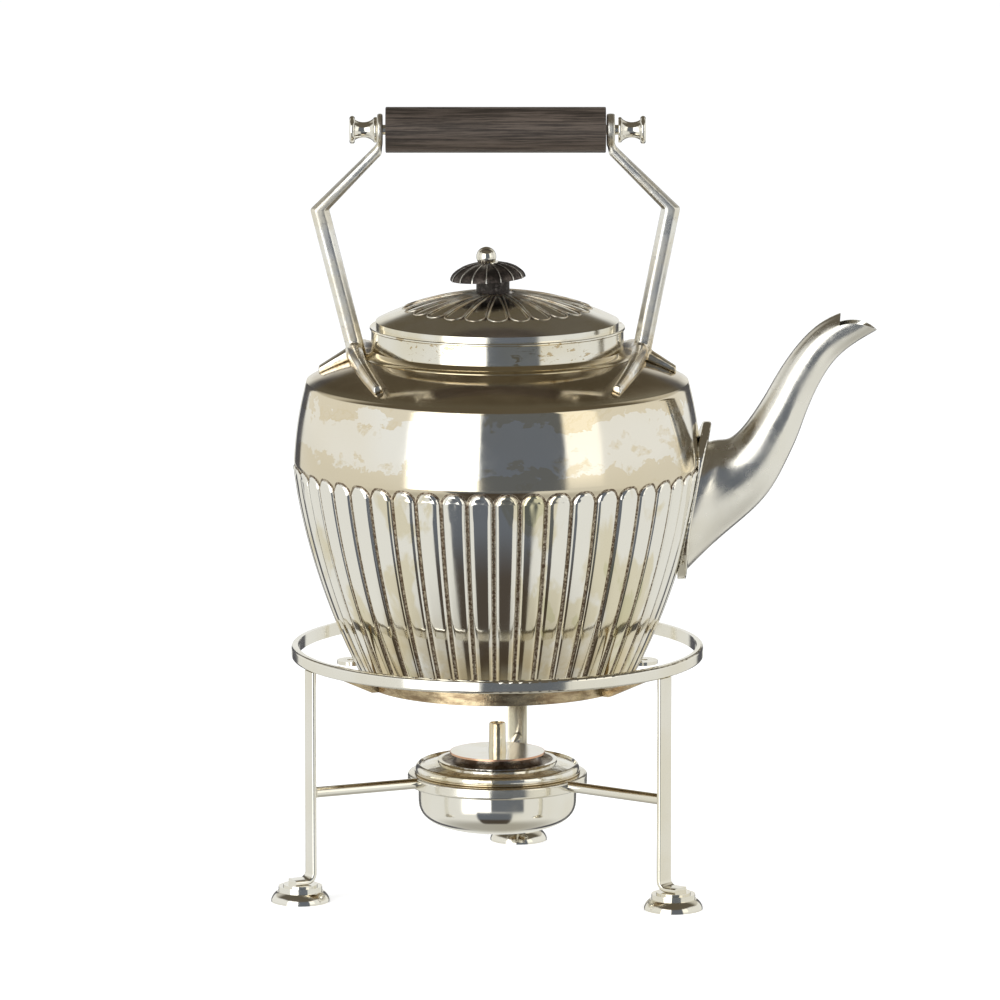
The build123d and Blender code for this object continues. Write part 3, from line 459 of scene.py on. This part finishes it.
def chased_lid():
    """The lid: dull silver, with painted brown shade between its petals, and darker towards the knob."""
    shade = Shade("lid silver")
    reach = shade.radius()
    half = shade.times(reach, math.pi / petal_count)
    inside = shade.sum("MULTIPLY", half, shade.sum("SUBTRACT", 1.0, shade.around(petal_count, 0.0)))
    # Painted shade: brown along the lines between the petals, where the chased relief lies in shade.
    groove = shade.times(shade.spread(inside, 0.0003, 0.0007, 1, 0),
                         shade.spread(reach, petal_shade_r, petal_shade_r + 0.0015, 1, 0))
    near = shade.spread(reach, knob_dirt_r, knob_dirt_r + 0.022, 0.75, 0)
    grime = shade.spread(shade.noise(220, 4, 0.65), 0.35, 0.6)
    base = shade.blend(shade.spread(shade.noise(26, 4, 0.55), 0.4, 0.65), bright_silver, warm_silver)
    base = shade.blend(shade.times(near, grime), base, lid_grime)
    colour = shade.blend(shade.times(groove, 0.92), base, petal_shade_brown)
    shade.rub(shade.noise(30, 1, 0.4), 0.0004, 0.5)
    return shade.finish(colour, shade.sum("ADD", 0.14, shade.times(groove, 0.25)))


def soft_silver():
    """Silver rubbed to a satin by handling, on the handle's arms."""
    shade = Shade("silver, satin")
    cloud = shade.noise(60, 4, 0.6)
    speck = shade.spread(shade.noise(420, 3, 0.7), 0.60, 0.68, 0, 0.5)
    base = shade.blend(shade.spread(cloud, 0.42, 0.62), satin_pale, satin_warm)
    foot = shade.spread(shade.z, arm_foot_z, arm_foot_z + 0.018, 0.8, 0)
    golden_foot = shade.times(foot, shade.spread(shade.noise(90, 4, 0.6), 0.35, 0.6))
    base = shade.blend(golden_foot, base, satin_gold)
    shade.rub(shade.noise(120, 2, 0.5), 0.0003, 0.4)
    rough = shade.times(shade.spread(cloud, 0.3, 0.7, 0.26, 0.40),
                        shade.spread(shade.z, arm_foot_z, arm_foot_z + 0.012, 0.6, 1.0))
    return shade.finish(shade.blend(speck, base, satin_speck), rough)


def shoulder_silver():
    """The shoulder: plate gone a soft golden brown, cleaner towards the crease."""
    shade = Shade("shoulder silver")
    cloud = shade.spread(shade.noise(24, 4, 0.55), 0.38, 0.65)
    edge = shade.spread(shade.radius(), shoulder_clean_r, shoulder_clean_r + 0.0035)
    colour = shade.blend(cloud, shoulder_gold, shoulder_brown)
    colour = shade.blend(shade.times(edge, 0.8), colour, warm_silver)
    shade.rub(shade.noise(34, 1, 0.4), 0.0004, 0.5)
    return shade.finish(colour, shade.spread(shade.noise(60, 3, 0.6), 0.3, 0.75, 0.07, 0.15))


def base_brown():
    """The kettle's base and its seat: plate gone golden brown over the flame."""
    shade = Shade("base, golden brown")
    cloud = shade.spread(shade.noise(120, 5, 0.6, shade.stretched((1, 1, 3))), 0.35, 0.65)
    colour = shade.blend(cloud, scorched_gold, scorched_brown)
    shade.rub(shade.noise(300, 3, 0.6), 0.0003, 0.5)
    return shade.finish(colour, 0.24)


def dark_cap():
    """The knob's cap: black crust with its ribs rubbed bright."""
    shade = Shade("knob cap, blackened")
    middle_x = (cap_low[0] + cap_high[0]) / 2 - axis_x
    edge = shade.around(gadroon_count, gadroon_phase + math.pi / gadroon_count, middle_x)
    rib = shade.spread(edge, 0.90, 0.96)
    crust = shade.blend(shade.spread(shade.noise(260, 4, 0.7), 0.4, 0.65), black_crust, thin_crust)
    colour = shade.blend(rib, crust, bright_silver)
    shade.rub(shade.noise(700, 3, 0.7), 0.0003, 0.5)
    return shade.finish(colour, shade.spread(rib, 0, 1, 0.42, 0.22), 0.85)


def dark_stem():
    """The knob's stem: a rough black crust with a faint bloom."""
    shade = Shade("knob stem, crusted")
    speck = shade.spread(shade.noise(480, 4, 0.7), 0.50, 0.70)
    colour = shade.blend(speck, black_crust, crust_bloom)
    shade.rub(shade.noise(500, 4, 0.7), 0.0006, 0.8)
    return shade.finish(colour, 0.5, 0.6)


def grip_wood():
    """Dark wood with fine grain along the grip."""
    shade = Shade("grip wood")
    grain = shade.noise(80, 6, 0.75, shade.stretched((0.4, 14, 14)))
    streak = shade.noise(20, 3, 0.5, shade.stretched((0.5, 5, 5)))
    mixed = shade.sum("ADD", shade.sum("MULTIPLY", grain, 0.75), shade.sum("MULTIPLY", streak, 0.25))
    colour = shade.blend(shade.spread(mixed, 0.40, 0.60), wood_dark, wood_light)
    shade.rub(grain, 0.0004, 0.5)
    shade.skin.inputs["Specular IOR Level"].default_value = 0.4
    return shade.finish(colour, 0.42, 0.0)


def worn_plate():
    """The burner's cover plate: silver on top, worn to copper at its edge."""
    shade = Shade("wick plate, worn to copper")
    rim = (plate_high[0] - plate_low[0]) / 2
    worn = shade.spread(shade.radius(), rim - 0.0004, rim - 0.0001)
    cloud = shade.spread(shade.noise(70, 4, 0.6), 0.45, 0.65, 0, 0.4)
    colour = shade.blend(worn, shade.blend(cloud, bright_silver, warm_silver), rubbed_copper)
    shade.rub(shade.noise(40, 2, 0.5), 0.0003, 0.5)
    return shade.finish(colour, shade.spread(worn, 0, 1, 0.14, 0.24))


def tube_brass():
    """The wick tube: plate worn to a golden metal."""
    shade = Shade("wick tube, golden")
    cloud = shade.spread(shade.noise(130, 4, 0.6, shade.stretched((1, 1, 0.3))), 0.38, 0.62)
    shade.rub(shade.noise(300, 2, 0.6), 0.0002, 0.5)
    return shade.finish(shade.blend(cloud, brass_gold, warm_silver), 0.2)


def wick_cotton():
    """Twisted cotton, singed at the top."""
    shade = Shade("wick cotton")
    shade.rub(shade.noise(1500, 2, 0.6), 0.0004, 0.8)
    burnt = shade.spread(shade.z, wick_burnt_z, wick_burnt_z + 0.0015)
    return shade.finish(shade.blend(burnt, raw_cotton, singed_cotton), 0.9, 0.0)


# Every node's finish. Where none is named, it is plain plate.
plain = plated("silver plate")
satin = soft_silver()
brown = base_brown()
crusted = dark_stem()
brass = tube_brass()
finishes = {
    "kettle_neck": collar_silver(),
    "kettle_shoulder": shoulder_silver(),
    "kettle_base": brown,
    "kettle_seat": brown,
    "spout": plated("silver plate, wiped dull", warmth=0.2, polish=0.24, clouds=0.4),
    "lid_dome": chased_lid(),
    "knob_cap": dark_cap(),
    "knob_stem": crusted,
    "knob_nut": crusted,
    "handle_grip": grip_wood(),
    "burner_top": burner_cover(),
    "burner_cradle_ring": plated("silver plate, golden", warmth=0.75, polish=0.14, clouds=0.8),
    "wick_plate": worn_plate(),
    "wick_tube": brass,
    "wick": wick_cotton(),
}
for node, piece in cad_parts.items():
    piece.data.materials.clear()
    piece.data.materials.append(finishes.get(node, plain))


class Bench:
    """The Geometry Nodes tree of one repeated piece, with short ways to add and join its nodes."""

    def __init__(self, name):
        self.tree = bpy.data.node_groups.new(name, "GeometryNodeTree")
        self.tree.interface.new_socket("Geometry", in_out="OUTPUT", socket_type="NodeSocketGeometry")
        self.nodes = self.tree.nodes
        self.links = self.tree.links
        self.sizes = {}
        self.entry = self.nodes.new("NodeGroupInput")

    def size(self, name, value):
        """A named input of the tree."""
        kind = "NodeSocketInt" if isinstance(value, int) else "NodeSocketFloat"
        socket = self.tree.interface.new_socket(name, in_out="INPUT", socket_type=kind)
        self.sizes[socket.identifier] = value
        return self.entry.outputs[name]

    def add(self, kind, inputs, settings=()):
        """A node with its inputs joined or set."""
        node = self.nodes.new(kind)
        for name, value in settings:
            setattr(node, name, value)
        for name, value in inputs.items():
            if hasattr(value, "is_output"):
                self.links.new(value, node.inputs[name])
            else:
                node.inputs[name].default_value = value
        return node

    def sum(self, operation, first, second=0.0):
        """One step of arithmetic."""
        return self.add("ShaderNodeMath", {0: first, 1: second}, (("operation", operation),)).outputs[0]

    def ramp(self, value, low, high, out_low, out_high, smooth=False):
        """A value that goes from one level to another between two limits."""
        kind = "SMOOTHSTEP" if smooth else "LINEAR"
        return self.add("ShaderNodeMapRange", {0: value, 1: low, 2: high, 3: out_low, 4: out_high},
                        (("interpolation_type", kind),)).outputs[0]

    def spot(self):
        """How far each point of the shape lies along x and along y."""
        position = self.add("GeometryNodeInputPosition", {}).outputs[0]
        parts = self.add("ShaderNodeSeparateXYZ", {"Vector": position})
        return parts.outputs[0], parts.outputs[1]

    def place(self, x=0.0, y=0.0, z=0.0):
        """A point or direction from its three parts."""
        return self.add("ShaderNodeCombineXYZ", {"X": x, "Y": y, "Z": z}).outputs[0]

    def arc(self, height, start, end, rise):
        """Radius, at a height, of a turned profile that bulges by the rise between two points."""
        half = math.hypot(end[0] - start[0], end[1] - start[1]) / 2
        bow = (half * half + rise * rise) / (2 * rise)
        along = ((end[0] - start[0]) / (2 * half), (end[1] - start[1]) / (2 * half))
        centre_r = (start[0] + end[0]) / 2 - along[1] * (bow - rise)
        centre_z = (start[1] + end[1]) / 2 + along[0] * (bow - rise)
        off = self.sum("SUBTRACT", height, centre_z)
        out = self.sum("SQRT", self.sum("SUBTRACT", bow * bow, self.sum("MULTIPLY", off, off)))
        return self.sum("ADD", out, centre_r)

    def round_the_kettle(self, geometry, count, first):
        """Copies of a piece that stands at +X, set evenly round the kettle's axis."""
        spots = self.add("GeometryNodePoints", {"Count": count})
        index = self.add("GeometryNodeInputIndex", {}).outputs[0]
        turn = self.sum("ADD", self.sum("DIVIDE", self.sum("MULTIPLY", index, math.tau), count), first)
        many = self.add("GeometryNodeInstanceOnPoints", {"Points": spots.outputs[0], "Instance": geometry,
                                                         "Rotation": self.place(z=turn)})
        return self.add("GeometryNodeTransform", {"Geometry": many.outputs[0],
                                                  "Translation": (axis_x, axis_y, 0)}).outputs[0]

    def made(self, name, geometry, material):
        """The finished piece as a plain mesh."""
        realized = self.add("GeometryNodeRealizeInstances", {"Geometry": geometry})
        painted = self.add("GeometryNodeSetMaterial", {"Geometry": realized.outputs[0],
                                                       "Material": material})
        leave = self.nodes.new("NodeGroupOutput")
        self.links.new(painted.outputs[0], leave.inputs[0])
        holder = bpy.data.objects.new(name, bpy.data.meshes.new(name))
        bpy.context.collection.objects.link(holder)
        work = holder.modifiers.new(name, "NODES")
        work.node_group = self.tree
        for identifier, value in self.sizes.items():
            work[identifier] = value
        bpy.context.view_layer.update()
        graph = bpy.context.evaluated_depsgraph_get()
        mesh = bpy.data.meshes.new_from_object(holder.evaluated_get(graph))
        holder.modifiers.remove(work)
        holder.data = mesh
        mesh.name = name
        return holder


def petal_wires():
    """The thin raised line round each of the lid's petals: a round-ended loop, laid on the dome and
    repeated."""
    lid_r = (lid_high[0] - lid_low[0]) / 2
    lid_rise = lid_high[2] - lid_low[2] - lid_edge
    dome_r = (lid_r ** 2 + lid_rise ** 2) / (2 * lid_rise)
    bench = Bench("petal wires")
    count = bench.size("Petals", petal_count)
    inner = bench.size("Inner radius", petal_inner_r)
    reach = bench.size("End radius", petal_end_r)
    half = bench.size("End half width", petal_end_half)
    thickness = bench.size("Wire radius", petal_wire_r)
    dome = bench.size("Dome radius", dome_r)
    centre = bench.size("Dome centre height", lid_high[2] - dome_r)
    arc = bench.add("GeometryNodeCurveArc", {"Resolution": petal_bend_points, "Radius": half,
                                             "Start Angle": -math.pi / 2, "Sweep Angle": math.pi,
                                             "Connect Center": True})
    index = bench.add("GeometryNodeInputIndex", {}).outputs[0]
    tip = bench.add("FunctionNodeCompare", {2: index, 3: petal_bend_points},
                    (("data_type", "INT"), ("operation", "EQUAL")))
    loop = bench.add("GeometryNodeSetPosition", {"Geometry": arc.outputs[0],
                                                 "Offset": bench.place(x=reach)})
    loop = bench.add("GeometryNodeSetPosition", {"Geometry": loop.outputs[0], "Selection": tip.outputs[0],
                                                 "Position": bench.place(x=inner)})
    loop = bench.add("GeometryNodeResampleCurve", {"Curve": loop.outputs[0], "Count": petal_points})
    x, y = bench.spot()
    flat = bench.sum("ADD", bench.sum("MULTIPLY", x, x), bench.sum("MULTIPLY", y, y))
    rise = bench.sum("SQRT", bench.sum("SUBTRACT", bench.sum("MULTIPLY", dome, dome), flat))
    on_dome = bench.place(x, y, bench.sum("ADD", centre, rise))
    loop = bench.add("GeometryNodeSetPosition", {"Geometry": loop.outputs[0], "Position": on_dome})
    ring = bench.add("GeometryNodeCurvePrimitiveCircle", {"Resolution": petal_wire_sides,
                                                          "Radius": thickness})
    wire = bench.add("GeometryNodeCurveToMesh", {"Curve": loop.outputs[0],
                                                 "Profile Curve": ring.outputs[0]})
    wires = bench.round_the_kettle(wire.outputs[0], count, -math.pi / 2)
    piece = bench.made("petal_wires", wires, wire_silver())
    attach(piece, "lid")


def wire_silver():
    """Tan, rubbed silver on the petals' raised edges."""
    shade = Shade("petal edge silver")
    cloud = shade.spread(shade.noise(160, 3, 0.6), 0.4, 0.6)
    return shade.finish(shade.blend(cloud, wire_pale, wire_tan), 0.30)


def bowl_skin():
    """The bowl and its band in one piece: a strip one flute wide, from the foot up to the crease and back
    down inside, repeated round the kettle. Each flute swells like a finger, with a round top, out of a wall
    that draws in under the band."""
    head_row = flank_rows + head_rows
    crease_row = head_row + band_rows
    last_row = crease_row + inner_rows + 2
    bench = Bench("bowl skin")
    count = bench.size("Flutes", flute_count)
    apex = bench.size("Flute top height", flute_apex_z)
    gap = bench.size("Half channel", flute_gap)
    swell = bench.size("Flute height over half width", flute_swell)
    wall = bench.size("Wall", bowl_wall)
    sheet = bench.add("GeometryNodeMeshGrid", {"Size X": 2.0, "Size Y": float(last_row),
                                               "Vertices X": strip_columns, "Vertices Y": last_row + 1})
    x, y = bench.spot()
    row = bench.sum("ADD", y, last_row / 2)
    wave = bench.sum("SINE", bench.sum("MULTIPLY", x, math.pi))
    across = bench.sum("ADD", x, bench.sum("MULTIPLY", wave, 0.5 / math.pi))
    climb = bench.ramp(row, 0, flank_rows, base_rim_z, head_low_z)
    climb = bench.sum("ADD", climb, bench.ramp(row, flank_rows, head_row, 0.0, head_high_z - head_low_z))
    climb = bench.sum("ADD", climb, bench.ramp(row, head_row, crease_row, 0.0, crease_z - head_high_z))
    fall = bench.ramp(row, crease_row + 1, last_row - 1, 0.0, crease_z - base_rim_z)
    height = bench.sum("SUBTRACT", climb, fall)
    flank = bench.arc(height, (foot_r, base_rim_z), (widest_r, widest_z), flank_rise)
    band = bench.arc(height, (widest_r, widest_z), (crease_r, crease_z), band_rise)
    outer = bench.sum("MINIMUM", flank, band)
    pitch = bench.sum("DIVIDE", math.pi, count)
    half = bench.sum("SUBTRACT", bench.sum("MULTIPLY", outer, pitch), gap)
    aside = bench.sum("MULTIPLY", bench.sum("MULTIPLY", outer, pitch), across)
    spring = bench.sum("SUBTRACT", apex, flute_half)
    above = bench.sum("MAXIMUM", bench.sum("SUBTRACT", height, spring), 0.0)
    off = bench.sum("ADD", bench.sum("MULTIPLY", aside, aside), bench.sum("MULTIPLY", above, above))
    away = bench.sum("DIVIDE", off, bench.sum("MULTIPLY", half, half))
    fall_off = bench.sum("SUBTRACT", 1.0, bench.sum("MULTIPLY", away, away))
    dome = bench.sum("SQRT", bench.sum("MAXIMUM", fall_off, 0.0))
    below = bench.sum("MINIMUM", bench.sum("SUBTRACT", height, facet_z), 0.0)
    low_side = bench.sum("DIVIDE", below, facet_depth)
    wide_side = bench.sum("DIVIDE", aside, facet_half)
    edge = bench.sum("SQRT", bench.sum("ADD", bench.sum("MULTIPLY", low_side, low_side),
                                       bench.sum("MULTIPLY", wide_side, wide_side)))
    facet = bench.sum("MULTIPLY", bench.sum("MAXIMUM", bench.sum("SUBTRACT", 1.0, edge), 0.0),
                      bench.ramp(height, facet_z, facet_top_z, facet_dip, 0.0, True))
    full = bench.sum("MULTIPLY", half, swell)
    drop = bench.sum("MULTIPLY", full, bench.ramp(height, ledge_foot_z, ledge_top_z, 1.0, 0.0, True))
    skin = bench.sum("ADD", bench.sum("SUBTRACT", outer, drop), bench.sum("MULTIPLY", full, dome))
    skin = bench.sum("SUBTRACT", skin, facet)
    inside = bench.sum("MULTIPLY", bench.sum("GREATER_THAN", row, crease_row + 0.5),
                       bench.sum("LESS_THAN", row, last_row - 0.5))
    lining = bench.sum("SUBTRACT", outer, wall)
    radius = bench.sum("ADD", bench.sum("MULTIPLY", lining, inside),
                       bench.sum("MULTIPLY", skin, bench.sum("SUBTRACT", 1.0, inside)))
    angle = bench.sum("MULTIPLY", across, pitch)
    on_bowl = bench.place(bench.sum("MULTIPLY", radius, bench.sum("COSINE", angle)),
                          bench.sum("MULTIPLY", radius, bench.sum("SINE", angle)), height)
    strip = bench.add("GeometryNodeSetPosition", {"Geometry": sheet.outputs[0], "Position": on_bowl})
    ring = bench.round_the_kettle(strip.outputs[0], count, flute_phase - math.pi / 2)
    ring = bench.add("GeometryNodeRealizeInstances", {"Geometry": ring})
    ring = bench.add("GeometryNodeMergeByDistance", {"Geometry": ring.outputs[0], "Distance": strip_seam})
    ring = bench.add("GeometryNodeSetShadeSmooth", {"Geometry": ring.outputs[0]})
    piece = bench.made("bowl_skin", ring.outputs[0], fluted_bowl())
    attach(piece, "kettle")
    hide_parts("kettle_bowl", "kettle_band")


def legs():
    """Three flat strips from under the ring down to the feet, where they turn outwards."""
    foot_cap_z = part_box("foot_rear")[1][2]
    bench = Bench("legs")
    count = bench.size("Legs", leg_count)
    width = bench.size("Width", leg_width)
    thickness = bench.size("Thickness", leg_thickness)
    edge = bench.size("Eased edge", leg_edge_r)
    toe_z = foot_cap_z + leg_thickness / 2
    out = (ring_high[0] - ring_low[0]) / 2 - leg_inset
    line = bench.add("GeometryNodeCurvePrimitiveLine", {})
    line = bench.add("GeometryNodeResampleCurve", {"Curve": line.outputs[0], "Count": 3})
    index = bench.add("GeometryNodeInputIndex", {}).outputs[0]
    toe = bench.ramp(index, 1.0, 2.0, out, out + leg_toe)
    fall = bench.ramp(index, 0.0, 1.0, ring_low[2], toe_z)
    line = bench.add("GeometryNodeSetPosition", {"Geometry": line.outputs[0],
                                                 "Position": bench.place(toe, 0.0, fall)})
    line = bench.add("GeometryNodeFilletCurve", {"Curve": line.outputs[0], "Count": leg_bend_points,
                                                 "Radius": leg_bend_r}, (("mode", "POLY"),))
    bar = bench.add("GeometryNodeCurvePrimitiveQuadrilateral", {"Width": thickness, "Height": width})
    bar = bench.add("GeometryNodeFilletCurve", {"Curve": bar.outputs[0], "Count": leg_edge_points,
                                                "Radius": edge}, (("mode", "POLY"),))
    strip = bench.add("GeometryNodeCurveToMesh", {"Curve": line.outputs[0], "Profile Curve": bar.outputs[0],
                                                  "Fill Caps": True})
    piece = bench.made("legs", bench.round_the_kettle(strip.outputs[0], count, rear_leg_angle), plain)
    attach(piece, "stand")
    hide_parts("stand_leg_left", "stand_leg_right", "stand_leg_rear")


def worn(node, body, material):
    """A copy of a solid with its edges worn round."""
    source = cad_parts[node]
    mesh = source.data.copy()
    piece = bpy.data.objects.new(node + "_worn", mesh)
    bpy.context.collection.objects.link(piece)
    weld = piece.modifiers.new("weld", "WELD")
    weld.merge_threshold = solid_seam
    remesh = piece.modifiers.new("remesh", "REMESH")
    remesh.mode = "VOXEL"
    remesh.voxel_size = wear_grain
    remesh.use_smooth_shade = True
    smooth = piece.modifiers.new("smooth", "SMOOTH")
    smooth.factor = 0.5
    smooth.iterations = wear_rounds
    bpy.context.view_layer.update()
    graph = bpy.context.evaluated_depsgraph_get()
    rounded = bpy.data.meshes.new_from_object(piece.evaluated_get(graph))
    piece.modifiers.clear()
    piece.data = rounded
    rounded.materials.clear()
    rounded.materials.append(material)
    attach(piece, body)
    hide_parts(node)


def turned(node, outline, closed, body, material):
    """A piece turned about its own upright axis, from its outline in radius and height, outside first."""
    low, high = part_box(node)
    middle_x = (low[0] + high[0]) / 2
    middle_y = (low[1] + high[1]) / 2
    turns = [math.tau * step / turning_steps for step in range(turning_steps)]
    points = []
    for r, z in outline:
        points += [(middle_x + r * math.cos(turn), middle_y + r * math.sin(turn), z) for turn in turns]
    faces = []
    for ring in range(len(outline) if closed else len(outline) - 1):
        here = ring * turning_steps
        above = (ring + 1) % len(outline) * turning_steps
        for step in range(turning_steps):
            beside = (step + 1) % turning_steps
            faces.append((here + step, here + beside, above + beside, above + step))
    mesh = bpy.data.meshes.new(node + "_turned")
    mesh.from_pydata(points, [], faces)
    work = bmesh.new()
    work.from_mesh(mesh)
    bmesh.ops.remove_doubles(work, verts=work.verts, dist=turning_seam)
    work.to_mesh(mesh)
    work.free()
    mesh.shade_smooth()
    mesh.set_sharp_from_angle(angle=crisp_angle)
    mesh.materials.append(material)
    piece = bpy.data.objects.new(node + "_turned", mesh)
    bpy.context.collection.objects.link(piece)
    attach(piece, body)
    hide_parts(node)


def burner_pan():
    """The burner's bowl, straight-sided above and full at its lower corner."""
    low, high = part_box("burner_bowl")
    power = 2 / burner_fullness
    outline = []
    for sheet in (0.0, burner_sheet):
        radius = (high[0] - low[0]) / 2 - sheet
        deep = burner_side_z - low[2] - sheet
        curve = [(0.0, burner_side_z - deep)]
        for step in range(1, corner_steps + 1):
            turn = math.pi / 2 * step / corner_steps
            out = radius * math.sin(turn) ** power
            down = deep * max(math.cos(turn), 0.0) ** power
            curve.append((out, burner_side_z - down))
        curve.append((radius, high[2]))
        outline += reversed(curve) if outline else curve
    turned("burner_bowl", outline, False, "burner", plain)


def wick_sleeve():
    """The wick tube, nearly straight, with an eased lip."""
    low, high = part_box("wick_tube")
    plate_z = plate_high[2]
    lip_z = high[2] - sleeve_lip
    outline = [(sleeve_neck_r, low[2]), (sleeve_neck_r, plate_z), (sleeve_foot_r, plate_z),
               (sleeve_r + sleeve_taper, plate_z + sleeve_flare), (sleeve_r, lip_z),
               (sleeve_r - lip_ease, high[2]), (sleeve_r - thin_wall, high[2]),
               (sleeve_r - sleeve_wall, lip_z), (sleeve_neck_r - thin_wall, low[2])]
    turned("wick_tube", outline, True, "wick_holder", brass)


petal_wires()
bowl_skin()
legs()
burner_pan()
wick_sleeve()
worn("handle_arm_left", "kettle", satin)
worn("handle_arm_right", "kettle", satin)
worn("spout_plate", "kettle", plain)


def studio():
    """The room as the metal sees it: white walls, a bright screen to the left of the camera, a dark opening
    in front, dark gaps beside the backdrop and a dark brown ceiling. The camera sees plain white, and as a
    light the room is soft and even."""
    world = bpy.data.worlds.new("studio")
    bpy.context.scene.world = world
    world.use_nodes = True
    world.node_tree.nodes.clear()
    room = Recipe(world.node_tree)
    coordinates = room.nodes.new("ShaderNodeTexCoord")
    split = room.nodes.new("ShaderNodeSeparateXYZ")
    room.links.new(coordinates.outputs["Generated"], split.inputs[0])
    side, back, up = split.outputs
    turn = room.sum("ARCTAN2", side, room.times(back, -1.0))
    turn = room.times(turn, 180 / math.pi)
    away = room.sum("ABSOLUTE", turn)

    table = room.blend(room.spread(up, *table_fade), table_near, table_far)
    look = room.blend(room.spread(up, *wall_foot), table, wall_white)
    screen = room.times(room.between(turn, *bright_screen, 3), room.between(up, *bright_screen_rise, 0.05))
    look = room.blend(screen, look, bright_screen_light)
    screen = room.times(room.between(turn, *soft_screen, 2), room.between(up, *soft_screen_rise, 0.05))
    look = room.blend(screen, look, soft_screen_light)
    opening = room.times(room.between(turn, *dark_opening, 1.5),
                         room.between(up, opening_split, opening_top, 0.04))
    lower = room.times(room.between(turn, *low_opening, 2.5),
                       room.between(up, opening_foot, opening_split, 0.04))
    gloom = room.blend(room.spread(up, *gloom_fade), gloom_low, gloom_high)
    look = room.blend(room.sum("MAXIMUM", opening, lower), look, gloom)
    gap = room.times(room.between(away, *backdrop_gap, 2), room.spread(up, *gap_foot))
    look = room.blend(gap, look, gap_grey)
    backdrop_top = room.spread(back, *ceiling_slope, wall_top, backdrop_edge)
    lift = room.sum("SUBTRACT", up, backdrop_top)
    aside = room.sum("MAXIMUM", room.spread(side, *pale_right), room.spread(side, *pale_left, 1, 0))
    ceiling = room.blend(room.times(aside, room.spread(back, *pale_back)), ceiling_brown, ceiling_pale)
    look = room.blend(room.spread(lift, *ceiling_seam), look, ceiling)

    path = room.nodes.new("ShaderNodeLightPath")
    shown = room.sum("MAXIMUM", path.outputs["Is Glossy Ray"], path.outputs["Is Transmission Ray"])
    colour = room.blend(shown, room_fill, look)
    colour = room.blend(path.outputs["Is Camera Ray"], colour, white)
    light = room.nodes.new("ShaderNodeBackground")
    room.feed(light.inputs["Color"], colour)
    out = room.nodes.new("ShaderNodeOutputWorld")
    room.links.new(light.outputs[0], out.inputs["Surface"])


def floor():
    """A pale floor that keeps the object's shadow."""
    material = bpy.data.materials.new("pale floor")
    material.use_nodes = True
    paint = Recipe(material.node_tree)
    skin = paint.nodes["Principled BSDF"]
    skin.inputs["Base Color"].default_value = (*floor_white, 1)
    skin.inputs["Roughness"].default_value = 0.9
    skin.inputs["Specular IOR Level"].default_value = 0.0
    skin.inputs["Emission Color"].default_value = (*white, 1)
    path = paint.nodes.new("ShaderNodeLightPath")
    paint.feed(skin.inputs["Emission Strength"], paint.times(path.outputs["Is Camera Ray"], floor_glow))
    mesh = bpy.data.meshes.new("floor")
    corners = ((-1, -1), (1, -1), (1, 1), (-1, 1))
    mesh.from_pydata([(floor_reach * x, floor_reach * y, 0) for x, y in corners], [], [(0, 1, 2, 3)])
    piece = bpy.data.objects.new("floor", mesh)
    bpy.context.collection.objects.link(piece)
    mesh.materials.append(material)
    piece.visible_glossy = False


def lamp(name, place, power):
    """A soft square lamp, its place counted from the kettle's axis."""
    light = bpy.data.lights.new(name, "AREA")
    light.shape = "SQUARE"
    light.size = lamp_size
    light.energy = power
    piece = bpy.data.objects.new(name, light)
    bpy.context.collection.objects.link(piece)
    piece.location = (axis_x + place[0], axis_y + place[1], place[2])
    aim = Vector((axis_x, axis_y, lamp_aim_z))
    piece.rotation_euler = (aim - piece.location).to_track_quat("-Z", "Y").to_euler()
    piece.visible_glossy = False


def photographer():
    """The camera, aimed at the kettle's axis."""
    lens = bpy.data.cameras.new("camera")
    camera = bpy.data.objects.new("camera", lens)
    bpy.context.collection.objects.link(camera)
    bpy.context.scene.camera = camera
    camera.location = (axis_x + camera_side, axis_y - camera_reach, camera_height)
    aim = Vector((axis_x + camera_side, axis_y, aim_height))
    camera.rotation_euler = (aim - camera.location).to_track_quat("-Z", "Y").to_euler()
    lens.sensor_width = film_width
    lens.lens = lens.sensor_width * (aim - camera.location).length / frame_width
    lens.clip_end = view_end
    bpy.context.scene.view_settings.view_transform = "Standard"


studio()
floor()
lamp("left lamp", left_lamp, left_lamp_power)
lamp("right lamp", right_lamp, right_lamp_power)
photographer()
